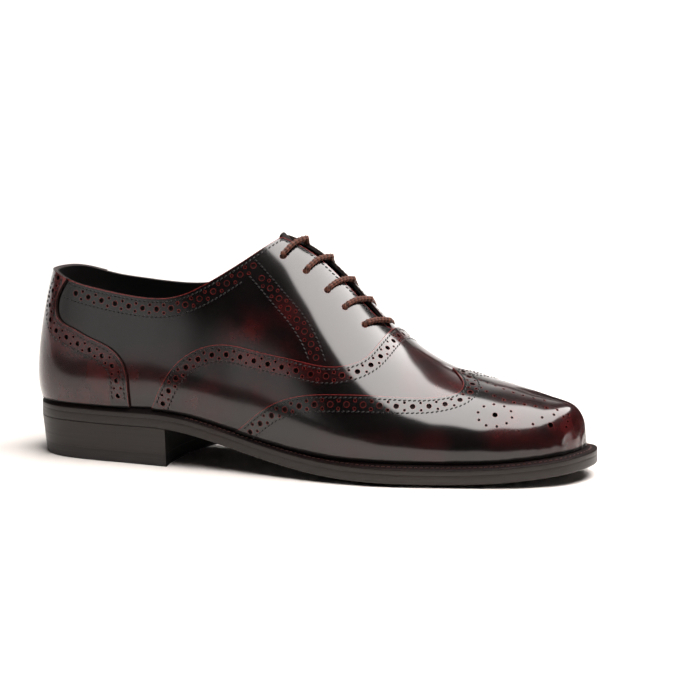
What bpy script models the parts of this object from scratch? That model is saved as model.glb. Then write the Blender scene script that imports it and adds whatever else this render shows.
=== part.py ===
# Wing-tip brogue, a right shoe, modelled on the last that it was made on.
# The toe points along +X, the inner side of the foot is +Y and the floor is Z = 0.
# Sizes are in millimetres and become metres where a mesh is written.
import bpy
import bmesh
import numpy as np
from mathutils import Matrix, Vector

for old in list(bpy.data.objects):
    bpy.data.objects.remove(old, do_unlink=True)

MM = 0.001

# Driving dimensions
SEAM_GAP = 0.3              # between neighbouring pieces
OVERLAY_GAP = 0.5           # between the upper and the overlays bent round it
OUTSOLE_THICKNESS = 4.5
WELT_THICKNESS = 2.7        # at its outer edge
WELT_RISE = 1.5             # from the outer edge up to the upper
UPPER_WALL = 1.8
TOE_BUILD_UP = 1.6          # the upper's wall lies this much deeper under vamp and cap
BUILD_UP_START = 160.0
BUILD_UP_END = 210.0
VAMP_THICKNESS = 0.9
CAP_THICKNESS = 1.7         # the cap lies over the vamp's edge
COUNTER_THICKNESS = 0.9
TUCK_HEIGHT = 8.0           # how quickly the wall leaves the feather edge
HEEL_BREAST = 84.0          # heel length along the lateral edge
BREAST_HOLLOW = 4.0
TOP_PIECE_HEIGHT = 6.0
HEEL_TAPER_LENGTH = 0.027   # heel narrows towards the floor, as shares of its size
HEEL_TAPER_WIDTH = 0.045
TREAD_CROWN = 3.2           # the forefoot tread is this much lower in the middle
TOE_SLOPE = 0.15            # tread's slope past the last's tip
TONGUE_THICKNESS = 1.8
INSOLE_TOP = 1.2            # insole's upper face above the upper's lower edge
LACE_DIAMETER = 3.0
LACE_HOLE_DIAMETER = 5.2
LACE_CLEARANCE = 0.5
CENTRE_X = 148.4            # middle of the shoe's box, moved to the origin
CENTRE_Y = 2.2

# Height of the upper's lower edge above the tread
SEAT = OUTSOLE_THICKNESS + WELT_THICKNESS + WELT_RISE + 2 * SEAM_GAP

# Sections of the last from heel to toe: x and half widths of the feather edge, the spine that the
# section closes on, its sideways place, the tread's height, the section's rise, the roundness of
# its side and top, how far it tucks in at the feather edge, and the welt's width.
LAST_COLUMNS = ("x", "spine", "axis", "lateral", "medial", "sole", "rise", "side", "top",
                "tuck_lateral", "tuck_medial", "welt")
LAST_SECTIONS = np.array((
    (2.0, 46, 0.0, 0.0, 0.0, 19.7, 124, 2.0, 1.6, 3.0, 3.0, 1.4),
    (5.0, 46, 0.0, 14.0, 14.0, 19.7, 124, 2.0, 1.6, 3.0, 3.0, 1.4),
    (14.3, 47, 0.0, 25.0, 25.0, 19.7, 123, 2.0, 1.6, 2.8, 2.8, 1.6),
    (32.4, 50, 0.0, 31.0, 31.0, 19.7, 121, 2.0, 1.6, 2.8, 2.8, 2.0),
    (60, 64, 0.0, 33.5, 31.5, 19.7, 115, 2.0, 1.7, 3.0, 3.5, 2.5),
    (90, 91, -0.5, 35.5, 29.0, 19.0, 107, 1.95, 1.8, 3.2, 5.0, 2.8),
    (120, 120, -1.5, 35.5, 29.0, 12.6, 101, 1.85, 1.95, 3.4, 5.5, 3.2),
    (150, 150, -1.5, 39.5, 34.5, 6.4, 96.8, 1.8, 2.0, 3.4, 5.0, 4.0),
    (180, 180, 0.5, 45.0, 41.5, 2.7, 73.7, 1.85, 2.0, 3.2, 4.0, 5.0),
    (205, 205, 2.5, 46.0, 45.5, 1.8, 51.6, 2.0, 2.0, 3.0, 3.0, 5.5),
    (230, 230, 5.0, 42.0, 43.0, 1.6, 39.5, 2.15, 2.0, 2.8, 2.8, 5.8),
    (255, 255, 6.0, 35.5, 37.0, 2.4, 32.5, 2.2, 2.0, 2.4, 2.4, 6.2),
    (274, 274, 7.0, 27.5, 28.5, 4.0, 26, 2.1, 2.0, 1.6, 1.6, 6.3),
    (285.5, 285.5, 7.5, 18.0, 18.5, 5.3, 21.3, 2.0, 2.0, 0.8, 0.8, 6.2),
    (290.5, 290.5, 8.0, 8.7, 8.7, 6.0, 13, 2.0, 2.0, 0.2, 0.2, 6.0),
    (292, 292, 8.0, 0.0, 0.0, 6.3, 0, 2.0, 2.0, 0.0, 0.0, 6.0),
))
MIRRORED_AT_HEEL = ("lateral", "medial")
MIRRORED_AT_TOE = ("lateral", "medial", "rise", "tuck_lateral", "tuck_medial")

# Collar: station along the feather edge, height of the topline on each side
COLLAR = np.array((
    (2.0, 95.7, 95.7),
    (10, 95.2, 94.4),
    (24, 92, 90.6),
    (44, 88.8, 88),
    (72, 86, 86.6),
    (88, 87.5, 88.8),
    (105.5, 95.7, 96.6),
    (125.5, 109.2, 109.6),
    (137, 118, 118),
))
# Throat: station, half of the gap between the facings
THROAT = np.array(((128, 5.0), (150, 5.6), (170, 5.4), (186, 4.0), (191.8, 2.6), (193.5, 0.0)))
THROAT_END = THROAT[-1, 0]
CORNER_BLEND = 0.035        # rounds the facing's top corner

# Seams as station and height; each starts on the feather edge, and HIGHEST stands for the ridge
HIGHEST = 999.0
VAMP_EDGE = np.array((
    (75.5, 0), (80, 37.5), (90, 53), (104, 62.5), (120, 64.6), (136, 62.2), (158, 59),
    (179.5, 57.2), (188, 60), (192.2, 65.5), (194, HIGHEST),
))
CAP_EDGE = np.array((
    (123.5, 0), (129, 25.5), (140, 34), (158, 41.7), (180, 43.8), (212, 42.5), (229, 42.6),
    (234.5, 44.3), (234.5, 46.8), (230.5, 49.6), (224, HIGHEST),
))
COUNTER_EDGE = np.array((
    (63, 0), (62.8, 41), (60, 52), (53, 59), (40, 64), (28, 68.5), (19, 72.5), (16, 78), (20.5, HIGHEST),
))

# Lace holes from the throat up to the collar: station and share of the way from feather edge to ridge
LACE_HOLES = np.array(((184.5, 0.757), (174.4, 0.730), (165.0, 0.720), (153.4, 0.725), (140.6, 0.738)))
LACE_BEND = 0.010           # share past the hole where the lace clears the leather
LACE_LIE = 0.045            # share past the hole where the bar lies along it
LACE_SLANT = {"lateral": 0.0, "medial": 3.5}      # the bars lean towards the toe on the medial side

# Tongue: station, depth under the upper's outer face, share of the section where its side lies
TONGUE = np.array((
    (132.4, -0.4, 0.89), (133.5, 0.3, 0.88), (135, 1.5, 0.89), (137.2, 3.1, 0.86), (140, 4.4, 0.82),
    (144.5, 5.8, 0.76), (150, 6.2, 0.66), (170, 6.0, 0.63), (187, 5.8, 0.66), (196, 2.9, 0.70), (203, 2.3, 0.74),
))

# Grid lines along the upper and the sole: where a run of them starts and how many steps it has
UPPER_RUNS = ((2.0, 4), (14.3, 7), (85, 5), (124, 6), (145, 6), (186, 3), (THROAT_END, 4), (230, 5), (274, 6))
SOLE_RUNS = ((2.0, 5), (14.3, 4), (50, 8), (150, 6), (230, 6), (274, 8))
UPPER_LINES = 9
SEAM_POINTS = 21            # along the edges of vamp and cap


def natural_spline(knots, values, at):
    # Smooth curve through a table: cubic between the rows, straight at both ends
    count = len(knots)
    gaps = np.diff(knots)
    system = np.eye(count)
    row = np.arange(1, count - 1)
    system[row, row - 1] = gaps[:-1]
    system[row, row] = 2 * (gaps[:-1] + gaps[1:])
    system[row, row + 1] = gaps[1:]
    bend = np.zeros(values.shape)
    bend[1:-1] = 6 * np.diff(np.diff(values, axis=0) / gaps[:, None], axis=0)
    bend = np.linalg.solve(system, bend)
    at = np.asarray(at, float)
    k = np.clip(np.searchsorted(knots, at, side="right") - 1, 0, count - 2)
    gap = gaps[k][..., None]
    past = (at - knots[k])[..., None]
    left = (knots[k + 1] - at)[..., None]
    curved = (bend[k] * left**3 + bend[k + 1] * past**3) / (6 * gap)
    return (curved + (values[k] / gap - bend[k] * gap / 6) * left
            + (values[k + 1] / gap - bend[k + 1] * gap / 6) * past)


def smooth_step(low, high, value):
    share = np.clip((np.asarray(value, float) - low) / (high - low), 0, 1)
    return share * share * (3 - 2 * share)


def last_knots():
    # Length along the feather edge, with the outline mirrored past heel and toe so that both are round
    half = (LAST_SECTIONS[:, 3] + LAST_SECTIONS[:, 4]) / 2
    length = np.concatenate([[0], np.cumsum(np.hypot(np.diff(LAST_SECTIONS[:, 0]), np.diff(half)))])
    heel_sign = np.array([-1 if name in MIRRORED_AT_HEEL else 1 for name in LAST_COLUMNS])
    toe_sign = np.array([-1 if name in MIRRORED_AT_TOE else 1 for name in LAST_COLUMNS])
    before = LAST_SECTIONS[3:0:-1] * heel_sign
    after = LAST_SECTIONS[-2:-5:-1] * toe_sign
    knots = np.concatenate([-length[3:0:-1], length, 2 * length[-1] - length[-2:-5:-1]])
    return knots, np.concatenate([before, LAST_SECTIONS, after]), length[-1]


KNOTS, KNOT_ROWS, TOE_TIP = last_knots()


def section(t):
    return dict(zip(LAST_COLUMNS, np.moveaxis(natural_spline(KNOTS, KNOT_ROWS, t), -1, 0)))


DENSE_T = np.linspace(0, TOE_TIP, 3001)
DENSE_X = section(DENSE_T)["x"]
DENSE_SOLE = section(DENSE_T)["sole"]


def t_of(x):
    return np.interp(x, DENSE_X, DENSE_T)


def x_of(t):
    return np.interp(t, DENSE_T, DENSE_X)


def tread_height(x):
    past_toe = np.maximum(x - DENSE_X[-1], 0)
    return np.interp(x, DENSE_X, DENSE_SOLE) + TOE_SLOPE * past_toe


def last_point(side, t, v):
    # Half section: from the feather edge (v = 0) up a rounded quarter curve to the spine (v = 1)
    s = section(t)
    sign = -1 if side == "lateral" else 1
    reach_x = s["x"] - s["spine"]
    reach_y = sign * s[side]
    reach = np.maximum(np.hypot(reach_x, reach_y), 1e-9)
    angle = np.asarray(v, float) * np.pi / 2
    out = np.cos(angle).clip(0) ** (2 / s["side"])
    up = s["rise"] * np.sin(angle).clip(0) ** (2 / s["top"])
    bulge = 1 + s["tuck_" + side] * (1 - np.exp(-np.abs(up) / TUCK_HEIGHT)) / reach
    return np.stack([s["spine"] + reach_x * out * bulge, s["axis"] + reach_y * out * bulge,
                     s["sole"] + SEAT + up], -1)


def last_normal(side, t, v):
    # Outward direction from two short steps; level at the feather edge, straight ahead at the toe tip
    t, v = np.broadcast_arrays(np.asarray(t, float), np.asarray(v, float))
    inside = np.minimum(t, TOE_TIP - 0.3)
    low = np.clip(v - 0.004, 0, 0.99)
    along = last_point(side, inside + 0.1, v) - last_point(side, inside - 0.1, v)
    across = last_point(side, inside, low + 0.008) - last_point(side, inside, low)
    normal = np.cross(along, across)
    if side == "medial":
        normal = -normal
    normal[..., 2] *= smooth_step(-0.02, 0.08, v)
    normal[..., 1] *= 1 - smooth_step(0.99, 1.0, v) * (x_of(t) > THROAT_END)
    normal /= np.linalg.norm(normal, axis=-1, keepdims=True)
    tip = smooth_step(TOE_TIP - 0.6, TOE_TIP, t)[..., None]
    normal = normal * (1 - tip) + np.array((1.0, 0, 0)) * tip
    return normal / np.linalg.norm(normal, axis=-1, keepdims=True)


def build_up(t):
    return TOE_BUILD_UP * smooth_step(BUILD_UP_START, BUILD_UP_END, x_of(t))


def off_upper(side, t, v, height):
    # Point at a height above the upper's outer face
    return last_point(side, t, v) + last_normal(side, t, v) * (height - build_up(t))[..., None]


def v_at_height(t, z):
    s = section(t)
    share = np.clip((z - s["sole"] - SEAT) / np.maximum(s["rise"], 1e-6), 0, 1)
    return np.arcsin(share ** (s["top"] / 2)) * 2 / np.pi


def v_at_gap(side, t, gap):
    s = section(t)
    reach = np.maximum(s[side] + s["tuck_" + side], 1e-6)
    return np.arccos(np.clip(gap / reach, 0, 1) ** (s["side"] / 2)) * 2 / np.pi


def collar_v(side, t):
    column = 1 if side == "lateral" else 2
    knots = t_of(COLLAR[:, 0])
    rows = COLLAR[:, column:column + 1]
    knots = np.concatenate([-knots[2:0:-1], knots])
    rows = np.concatenate([rows[2:0:-1], rows])
    return v_at_height(t, natural_spline(knots, rows, np.minimum(t, knots[-1]))[..., 0])


def opening_v(side, t):
    # The wall ends at the collar behind, at the throat's gap in the middle and at the ridge in front
    x = x_of(t)
    throat = v_at_gap(side, t, np.interp(x, THROAT[:, 0], THROAT[:, 1]))
    throat = np.where(x < THROAT[0, 0], 1.0, throat)
    top_station = COLLAR[-1, 0]
    collar = collar_v(side, t) + np.maximum(x - top_station, 0) * 0.04
    blend = np.maximum(CORNER_BLEND - np.abs(collar - throat), 0) / CORNER_BLEND
    edge = np.minimum(collar, throat) - blend * blend * CORNER_BLEND / 4
    return np.where(x < THROAT_END - 0.01, edge, 1.0)


def run_stations(runs):
    starts = [t_of(x) for x, steps in runs] + [TOE_TIP]
    lines = [np.linspace(starts[i], starts[i + 1], runs[i][1], endpoint=False) for i in range(len(runs))]
    return np.concatenate(lines + [[TOE_TIP]])


def seam(side, rows, count):
    # Smooth seam through a short table, as places on the last
    t = t_of(rows[:, 0])
    v = v_at_height(t, rows[:, 1])
    if rows[-1, 1] == HIGHEST:
        v[-1] = opening_v(side, t[-1:])[0]
    points = last_point(side, t, v)
    length = np.concatenate([[0], np.cumsum(np.linalg.norm(np.diff(points, axis=0), axis=1))])
    fine = natural_spline(length, np.stack([t, v], -1), np.linspace(0, length[-1], 400))
    fine[1:-1, 1] = fine[1:-1, 1].clip(0.001, 0.999)
    walk = np.concatenate([[0], np.cumsum(np.linalg.norm(np.diff(last_point(side, *fine.T), axis=0), axis=1))])
    even = np.linspace(0, walk[-1], count)
    return np.stack([np.interp(even, walk, fine[:, 0]), np.interp(even, walk, fine[:, 1])], -1)


def beside(side, curve, distance):
    # The same seam moved sideways over the last, towards the heel at its ends and up between them
    t, v = curve[:, 0], curve[:, 1].clip(0.004, 0.996)
    step_t = (last_point(side, t + 0.1, v) - last_point(side, t - 0.1, v)) / 0.2
    step_v = (last_point(side, t, v + 0.004) - last_point(side, t, v - 0.004)) / 0.008
    run = np.gradient(t)[:, None] * step_t + np.gradient(v)[:, None] * step_v
    turn = 1 if side == "lateral" else -1
    away = np.cross(last_normal(side, t, v), run) * turn
    away *= distance / np.linalg.norm(away, axis=1, keepdims=True)
    tt, tv, vv = (np.sum(a * b, 1) for a, b in ((step_t, step_t), (step_t, step_v), (step_v, step_v)))
    at, av = np.sum(away * step_t, 1), np.sum(away * step_v, 1)
    size = tt * vv - tv * tv
    moved = np.stack([curve[:, 0] + (at * vv - av * tv) / size, curve[:, 1] + (av * tt - at * tv) / size], -1)
    moved[:, 1] = moved[:, 1].clip(0, 1)
    for end in (0, -1):
        moved[end] = curve[end] - (distance, 0)
    return moved


def straight(start, end, shares):
    return np.asarray(start) * (1 - shares[:, None]) + np.asarray(end) * shares[:, None]


def coons(first, last, start, end, shares):
    # Grid between four curves: first and last run along u, start and end join them at the given shares
    u = np.linspace(0, 1, len(first))[:, None, None]
    w = shares[None, :, None]
    ruled_w = first[:, None] * (1 - w) + last[:, None] * w
    ruled_u = start[None] * (1 - u) + end[None] * u
    corners = ((first[0] * (1 - w) + last[0] * w) * (1 - u) + (first[-1] * (1 - w) + last[-1] * w) * u)
    return ruled_w + ruled_u - corners


def material(name, colour, roughness):
    made = bpy.data.materials.new(name)
    made.use_nodes = True
    shader = made.node_tree.nodes["Principled BSDF"]
    shader.inputs["Base Color"].default_value = (*colour, 1)
    shader.inputs["Roughness"].default_value = roughness
    shader.inputs["Metallic"].default_value = 0.0
    return made


def place(mesh, name, surface):
    piece = bpy.data.objects.new(name, mesh)
    bpy.context.collection.objects.link(piece)
    mesh.materials.append(surface)
    mesh.shade_smooth()
    mesh.set_sharp_from_angle(angle=np.radians(40))
    return piece


def grid_faces(rows, columns, start=0):
    index = np.arange(rows * columns).reshape(rows, columns) + start
    return np.stack([index[:-1, :-1], index[1:, :-1], index[1:, 1:], index[:-1, 1:]], -1).reshape(-1, 4)


def solid(name, key, outer, inner, faces, surface):
    # Closed body between two sheets of the same grid; points that share a key are one point
    rounded = np.round(np.asarray(key) * 1000).astype(np.int64)
    _, first, member = np.unique(rounded, axis=0, return_index=True, return_inverse=True)
    member = member.reshape(-1)
    count = len(first)
    share = np.bincount(member, minlength=count)[:, None]
    sheets = []
    for sheet in (outer, inner):
        sums = np.stack([np.bincount(member, sheet[:, axis], count) for axis in range(3)], -1)
        sheets.append(sums / share)
    points = (np.concatenate(sheets) - (CENTRE_X, CENTRE_Y, 0)) * MM
    polygons = []
    edges = {}
    for face in member[faces]:
        ring = [a for a, b in zip(face, np.roll(face, 1)) if a != b]
        if len(set(ring)) < 3:
            continue
        polygons.append([int(a) for a in ring])
        polygons.append([int(a) + count for a in reversed(ring)])
        for a, b in zip(ring, ring[1:] + ring[:1]):
            edges[(int(a), int(b))] = edges.get((int(a), int(b)), 0) + 1
    for a, b in edges:
        if (b, a) not in edges:
            polygons.append([b, a, a + count, b + count])
    mesh = bpy.data.meshes.new(name)
    mesh.from_pydata([tuple(p) for p in points], [], polygons)
    work = bmesh.new()
    work.from_mesh(mesh)
    bmesh.ops.triangulate(work, faces=work.faces)
    if work.calc_volume(signed=True) < 0:
        bmesh.ops.reverse_faces(work, faces=work.faces)
    work.to_mesh(mesh)
    work.free()
    return place(mesh, name, surface)


def overlay(name, grids, low, high, surface):
    # Sheet lifted off the upper's outer face, the lateral and the medial half joined
    keys, outers, inners, faces = [], [], [], []
    start = 0
    for side, grid in grids:
        t, v = grid[..., 0], grid[..., 1]
        quads = grid_faces(*t.shape, start)
        faces.append(quads if side == "lateral" else quads[:, ::-1])
        keys.append(last_point(side, t, v).reshape(-1, 3))
        outers.append(off_upper(side, t, v, np.full(t.shape, high)).reshape(-1, 3))
        inners.append(off_upper(side, t, v, np.full(t.shape, low)).reshape(-1, 3))
        start += t.size
    parts = [np.concatenate(group) for group in (keys, outers, inners, faces)]
    return solid(name, *parts, surface)


def upper_grid(side):
    t = run_stations(UPPER_RUNS)
    share = np.linspace(0, 1, UPPER_LINES)
    v = opening_v(side, t)[:, None] * share
    return np.stack(np.broadcast_arrays(t[:, None], v), -1)


def hole_frame(side, station, v):
    t = np.array([t_of(station)])
    point = off_upper(side, t, np.array([v]), np.zeros(1))[0]
    return point, last_normal(side, t, np.array([v]))[0]


def punch_lace_holes(upper):
    work = bmesh.new()
    for side in ("lateral", "medial"):
        for station, v in LACE_HOLES:
            point, normal = hole_frame(side, station + LACE_SLANT[side], v)
            turn = Vector((0, 0, 1)).rotation_difference(Vector(normal)).to_matrix().to_4x4()
            centre = Vector((point - normal * UPPER_WALL / 2 - (CENTRE_X, CENTRE_Y, 0)) * MM)
            bmesh.ops.create_cone(work, cap_ends=True, segments=10, radius1=LACE_HOLE_DIAMETER / 2 * MM,
                                  radius2=LACE_HOLE_DIAMETER / 2 * MM, depth=UPPER_WALL * 3 * MM,
                                  matrix=Matrix.Translation(centre) @ turn)
    mesh = bpy.data.meshes.new("lace_hole_punch")
    work.to_mesh(mesh)
    work.free()
    punch = bpy.data.objects.new("lace_hole_punch", mesh)
    bpy.context.collection.objects.link(punch)
    punch.hide_render = True
    punch.display_type = "WIRE"
    cut = upper.modifiers.new("lace holes", "BOOLEAN")
    cut.operation = "DIFFERENCE"
    cut.object = punch
    cut.solver = "EXACT"


def make_upper(surface):
    upper = overlay("upper", [(side, upper_grid(side)) for side in ("lateral", "medial")],
                    -UPPER_WALL, 0.0, surface)
    punch_lace_holes(upper)


def make_vamp(surface):
    grids = []
    for side in ("lateral", "medial"):
        shares = np.linspace(0, 1, 6)
        top = seam(side, VAMP_EDGE, SEAM_POINTS)
        low = beside(side, seam(side, CAP_EDGE, SEAM_POINTS), OVERLAY_GAP)
        feather = straight(top[0], low[0], shares)
        ridge = straight(top[-1], low[-1], shares)
        grids.append((side, coons(top, low, feather, ridge, shares)))
    overlay("vamp", grids, OVERLAY_GAP, OVERLAY_GAP + VAMP_THICKNESS, surface)


def make_cap(surface):
    grids = []
    for side in ("lateral", "medial"):
        shares = 1 - np.linspace(1, 0, 15) ** 1.8
        edge = seam(side, CAP_EDGE, SEAM_POINTS)
        tip = straight((TOE_TIP, 0), (TOE_TIP, 1), np.linspace(0, 1, SEAM_POINTS))
        feather = straight(edge[0], tip[0], shares)
        ridge = straight(edge[-1], tip[-1], shares)
        grids.append((side, coons(edge, tip, feather, ridge, shares)))
    overlay("wing_cap", grids, OVERLAY_GAP, OVERLAY_GAP + CAP_THICKNESS, surface)


def make_counter(surface):
    grids = []
    for side in ("lateral", "medial"):
        shares = np.linspace(0, 1, 12)
        edge = seam(side, COUNTER_EDGE, 12)
        back = straight((0, 0), (0, opening_v(side, np.zeros(1))[0]), np.linspace(0, 1, 12))
        feather = straight(back[0], edge[0], shares)
        collar = straight(back[-1], edge[-1], shares)
        collar[:, 1] = opening_v(side, collar[:, 0])
        grids.append((side, coons(back, edge, feather, collar, shares)))
    overlay("heel_counter", grids, OVERLAY_GAP, OVERLAY_GAP + COUNTER_THICKNESS, surface)


def make_tongue(surface):
    station = np.concatenate([np.linspace(TONGUE[0, 0], TONGUE[5, 0], 8), np.linspace(148.5, TONGUE[-1, 0], 9)])
    rows = natural_spline(TONGUE[:, 0], TONGUE[:, 1:], station)
    t = t_of(station)[:, None]
    share = np.linspace(0, 1, 5)
    v = 1 - (1 - rows[:, 1:2]) * share
    keys, outers, inners, faces = [], [], [], []
    for order, side in enumerate(("lateral", "medial")):
        tt, vv = np.broadcast_arrays(t, v)
        depth = np.broadcast_to(rows[:, 0:1], tt.shape)
        quads = grid_faces(*tt.shape, order * tt.size)
        faces.append(quads if side == "medial" else quads[:, ::-1])
        keys.append(last_point(side, tt, vv).reshape(-1, 3))
        outers.append(off_upper(side, tt, vv, -depth).reshape(-1, 3))
        inners.append(off_upper(side, tt, vv, -depth - TONGUE_THICKNESS).reshape(-1, 3))
    solid("tongue", *[np.concatenate(group) for group in (keys, outers, inners, faces)], surface)


def outline(side, t, push):
    # Feather edge moved outwards in plan; push is one distance for each station
    s = section(t)
    ahead = section(t + 0.05)
    behind = section(t - 0.05)
    sign = -1 if side == "lateral" else 1
    run_x = ahead["x"] - behind["x"]
    run_y = ahead["axis"] - behind["axis"] + sign * (ahead[side] - behind[side])
    length = np.hypot(run_x, run_y)
    return np.stack([s["x"] - sign * run_y / length * push,
                     s["axis"] + sign * s[side] + sign * run_x / length * push], -1)


def plate(name, t, push, lines, low, high, surface, shift=None):
    # Sheet filling an outline; low and high give its faces' heights from x, y and the share across
    lateral = outline("lateral", t, push(t))[:, None]
    medial = outline("medial", t, push(t))[:, None]
    share = np.linspace(0, 1, lines)[None, :, None]
    plan = lateral * (1 - share) + medial * share
    across = np.broadcast_to(share[..., 0] * 2 - 1, plan.shape[:2])
    if shift is not None:
        plan = shift(plan, across)
    sheets = []
    for height in (high, low):
        spot, z = height(plan, across)
        sheets.append(np.concatenate([spot, z[..., None]], -1).reshape(-1, 3))
    solid(name, sheets[0], sheets[0], sheets[1], grid_faces(*plan.shape[:2]), surface)


def welt_width(t):
    return section(t)["welt"]


def make_outsole(surface):
    def top(plan, across):
        return plan, tread_height(plan[..., 0]) + OUTSOLE_THICKNESS

    def tread(plan, across):
        x = plan[..., 0]
        crown = TREAD_CROWN * smooth_step(120, 175, x) * (1 - smooth_step(245, 285, x))
        return plan, np.maximum(tread_height(x) - crown * (1 - across**2), 0)

    plate("outsole", run_stations(SOLE_RUNS), welt_width, 6, tread, top, surface)


def make_insole(surface):
    def inset(t):
        return -(build_up(t) + UPPER_WALL + OVERLAY_GAP)

    def low(plan, across):
        return plan, tread_height(plan[..., 0]) + OUTSOLE_THICKNESS + SEAM_GAP

    def high(plan, across):
        return plan, tread_height(plan[..., 0]) + SEAT + INSOLE_TOP

    plate("insole", run_stations(SOLE_RUNS), inset, 3, low, high, surface)


def make_welt(surface):
    # Ring from the sole's edge in under the upper's wall, its top rising to the wall
    t = run_stations(SOLE_RUNS)
    edge = welt_width(t)
    wall = build_up(t) + UPPER_WALL
    tops, lows = [], []
    for side in ("lateral", "medial"):
        rings = []
        for push, rise in ((edge, 0.0), (edge * 0.0, 1.0), (-wall, 1.0)):
            plan = outline(side, t, push)
            z = tread_height(plan[:, 0]) + OUTSOLE_THICKNESS + SEAM_GAP + WELT_THICKNESS + WELT_RISE * rise
            rings.append(np.concatenate([plan, z[:, None]], -1))
        top = np.stack(rings, 1)
        low = top.copy()
        low[..., 2] = tread_height(top[..., 0]) + OUTSOLE_THICKNESS + SEAM_GAP
        tops.append(top)
        lows.append(low)
    top = np.concatenate([tops[0], tops[1][-2:0:-1]])
    low = np.concatenate([lows[0], lows[1][-2:0:-1]])
    closed = np.concatenate([top, top[:1]])
    closed_low = np.concatenate([low, low[:1]])
    faces = grid_faces(*closed.shape[:2])
    solid("welt", closed.reshape(-1, 3), closed.reshape(-1, 3), closed_low.reshape(-1, 3), faces, surface)


def make_heel(block_surface, piece_surface):
    t = np.concatenate([np.linspace(0, 28, 6, endpoint=False), np.linspace(28, t_of(HEEL_BREAST), 6)])
    heel_height = LAST_SECTIONS[0, LAST_COLUMNS.index("sole")]

    def hollow_breast(plan, across):
        front = smooth_step(0.25, 1.0, plan[..., :1] / HEEL_BREAST)
        hollow = np.concatenate([front * BREAST_HOLLOW * (1 - across[..., None]**2), 0 * front], -1)
        return plan - hollow

    def narrowed(plan, z):
        share = 1 - z / heel_height
        x = HEEL_BREAST - (HEEL_BREAST - plan[..., 0]) * (1 - HEEL_TAPER_LENGTH * share)
        y = plan[..., 1] * (1 - HEEL_TAPER_WIDTH * share)
        return np.stack([x, y], -1)

    def level(height):
        def face(plan, across):
            return narrowed(plan, height), np.full(across.shape, height)
        return face

    def seat(plan, across):
        return plan, tread_height(plan[..., 0]) - SEAM_GAP

    plate("heel_block", t, welt_width, 5, level(TOP_PIECE_HEIGHT + SEAM_GAP), seat, block_surface,
          hollow_breast)
    plate("heel_top_piece", t, welt_width, 5, level(0.0), level(TOP_PIECE_HEIGHT), piece_surface,
          hollow_breast)


def lace_route():
    # Up through a hole, over the throat, down the far hole and along under the facing to the next
    over = LACE_DIAMETER / 2 + LACE_CLEARANCE
    under = UPPER_WALL + LACE_CLEARANCE + LACE_DIAMETER / 2
    sides = ["lateral", "medial"]
    route = []
    for number, (station, v) in enumerate(LACE_HOLES):
        near, far = sides if number % 2 == 0 else sides[::-1]
        start = t_of(station + LACE_SLANT[near])
        stop = t_of(station + LACE_SLANT[far])
        middle = (start + stop) / 2
        lie = v + LACE_LIE
        rise = ((v, -under * 0.75), (v, 0.1), (v + LACE_BEND, over))
        for share, height in rise:
            route.append((near, start, share, height))
        for share in np.linspace(0, 1, 4):
            route.append((near, start + (middle - start) * share, lie + (1 - lie) * share, over))
        for share in np.linspace(1, 0, 4)[1:]:
            route.append((far, stop + (middle - stop) * share, lie + (1 - lie) * share, over))
        for share, height in rise[::-1]:
            route.append((far, stop, share, height))
        if number + 1 < len(LACE_HOLES):
            next_t = t_of(LACE_HOLES[number + 1, 0] + LACE_SLANT[far])
            next_v = LACE_HOLES[number + 1, 1]
            for share in (0.2, 0.5, 0.8):
                route.append((far, stop + (next_t - stop) * share, v + (next_v - v) * share, -under))
    points = [off_upper(side, np.array([t]), np.array([v]), np.array([h]))[0] for side, t, v, h in route]
    return np.array(points)


def make_lace(surface):
    points = lace_route()
    curve = bpy.data.curves.new("lace", "CURVE")
    curve.dimensions = "3D"
    curve.bevel_depth = LACE_DIAMETER / 2 * MM
    curve.bevel_resolution = 2
    curve.use_fill_caps = True
    path = curve.splines.new("POLY")
    path.points.add(len(points) - 1)
    for spot, point in zip(path.points, points):
        spot.co = (*((point - (CENTRE_X, CENTRE_Y, 0)) * MM), 1)
    curve.materials.append(surface)
    piece = bpy.data.objects.new("lace", curve)
    bpy.context.collection.objects.link(piece)


OXBLOOD = (0.055, 0.010, 0.010)
make_upper(material("quarter leather", OXBLOOD, 0.22))
make_vamp(material("vamp leather", OXBLOOD, 0.20))
make_cap(material("cap leather", OXBLOOD, 0.20))
make_counter(material("counter leather", OXBLOOD, 0.22))
make_tongue(material("tongue leather", (0.040, 0.012, 0.010), 0.45))
make_insole(material("insole leather", (0.020, 0.018, 0.017), 0.60))
make_welt(material("welt leather", (0.018, 0.010, 0.009), 0.50))
make_outsole(material("sole leather", (0.050, 0.034, 0.028), 0.48))
make_heel(material("stacked heel leather", (0.045, 0.032, 0.027), 0.45),
          material("top piece rubber", (0.020, 0.018, 0.017), 0.60))
make_lace(material("waxed lace", (0.16, 0.065, 0.045), 0.55))
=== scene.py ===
# Looks of a wing-tip brogue, a right shoe: punched leather over the last, stitches, lace, sole and studio.
# Shoe sizes are in millimetres, toe along +X and the inner side +Y; meshes are written in metres.
import bpy
import numpy as np
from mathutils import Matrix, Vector
from mathutils.geometry import delaunay_2d_cdt


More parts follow.
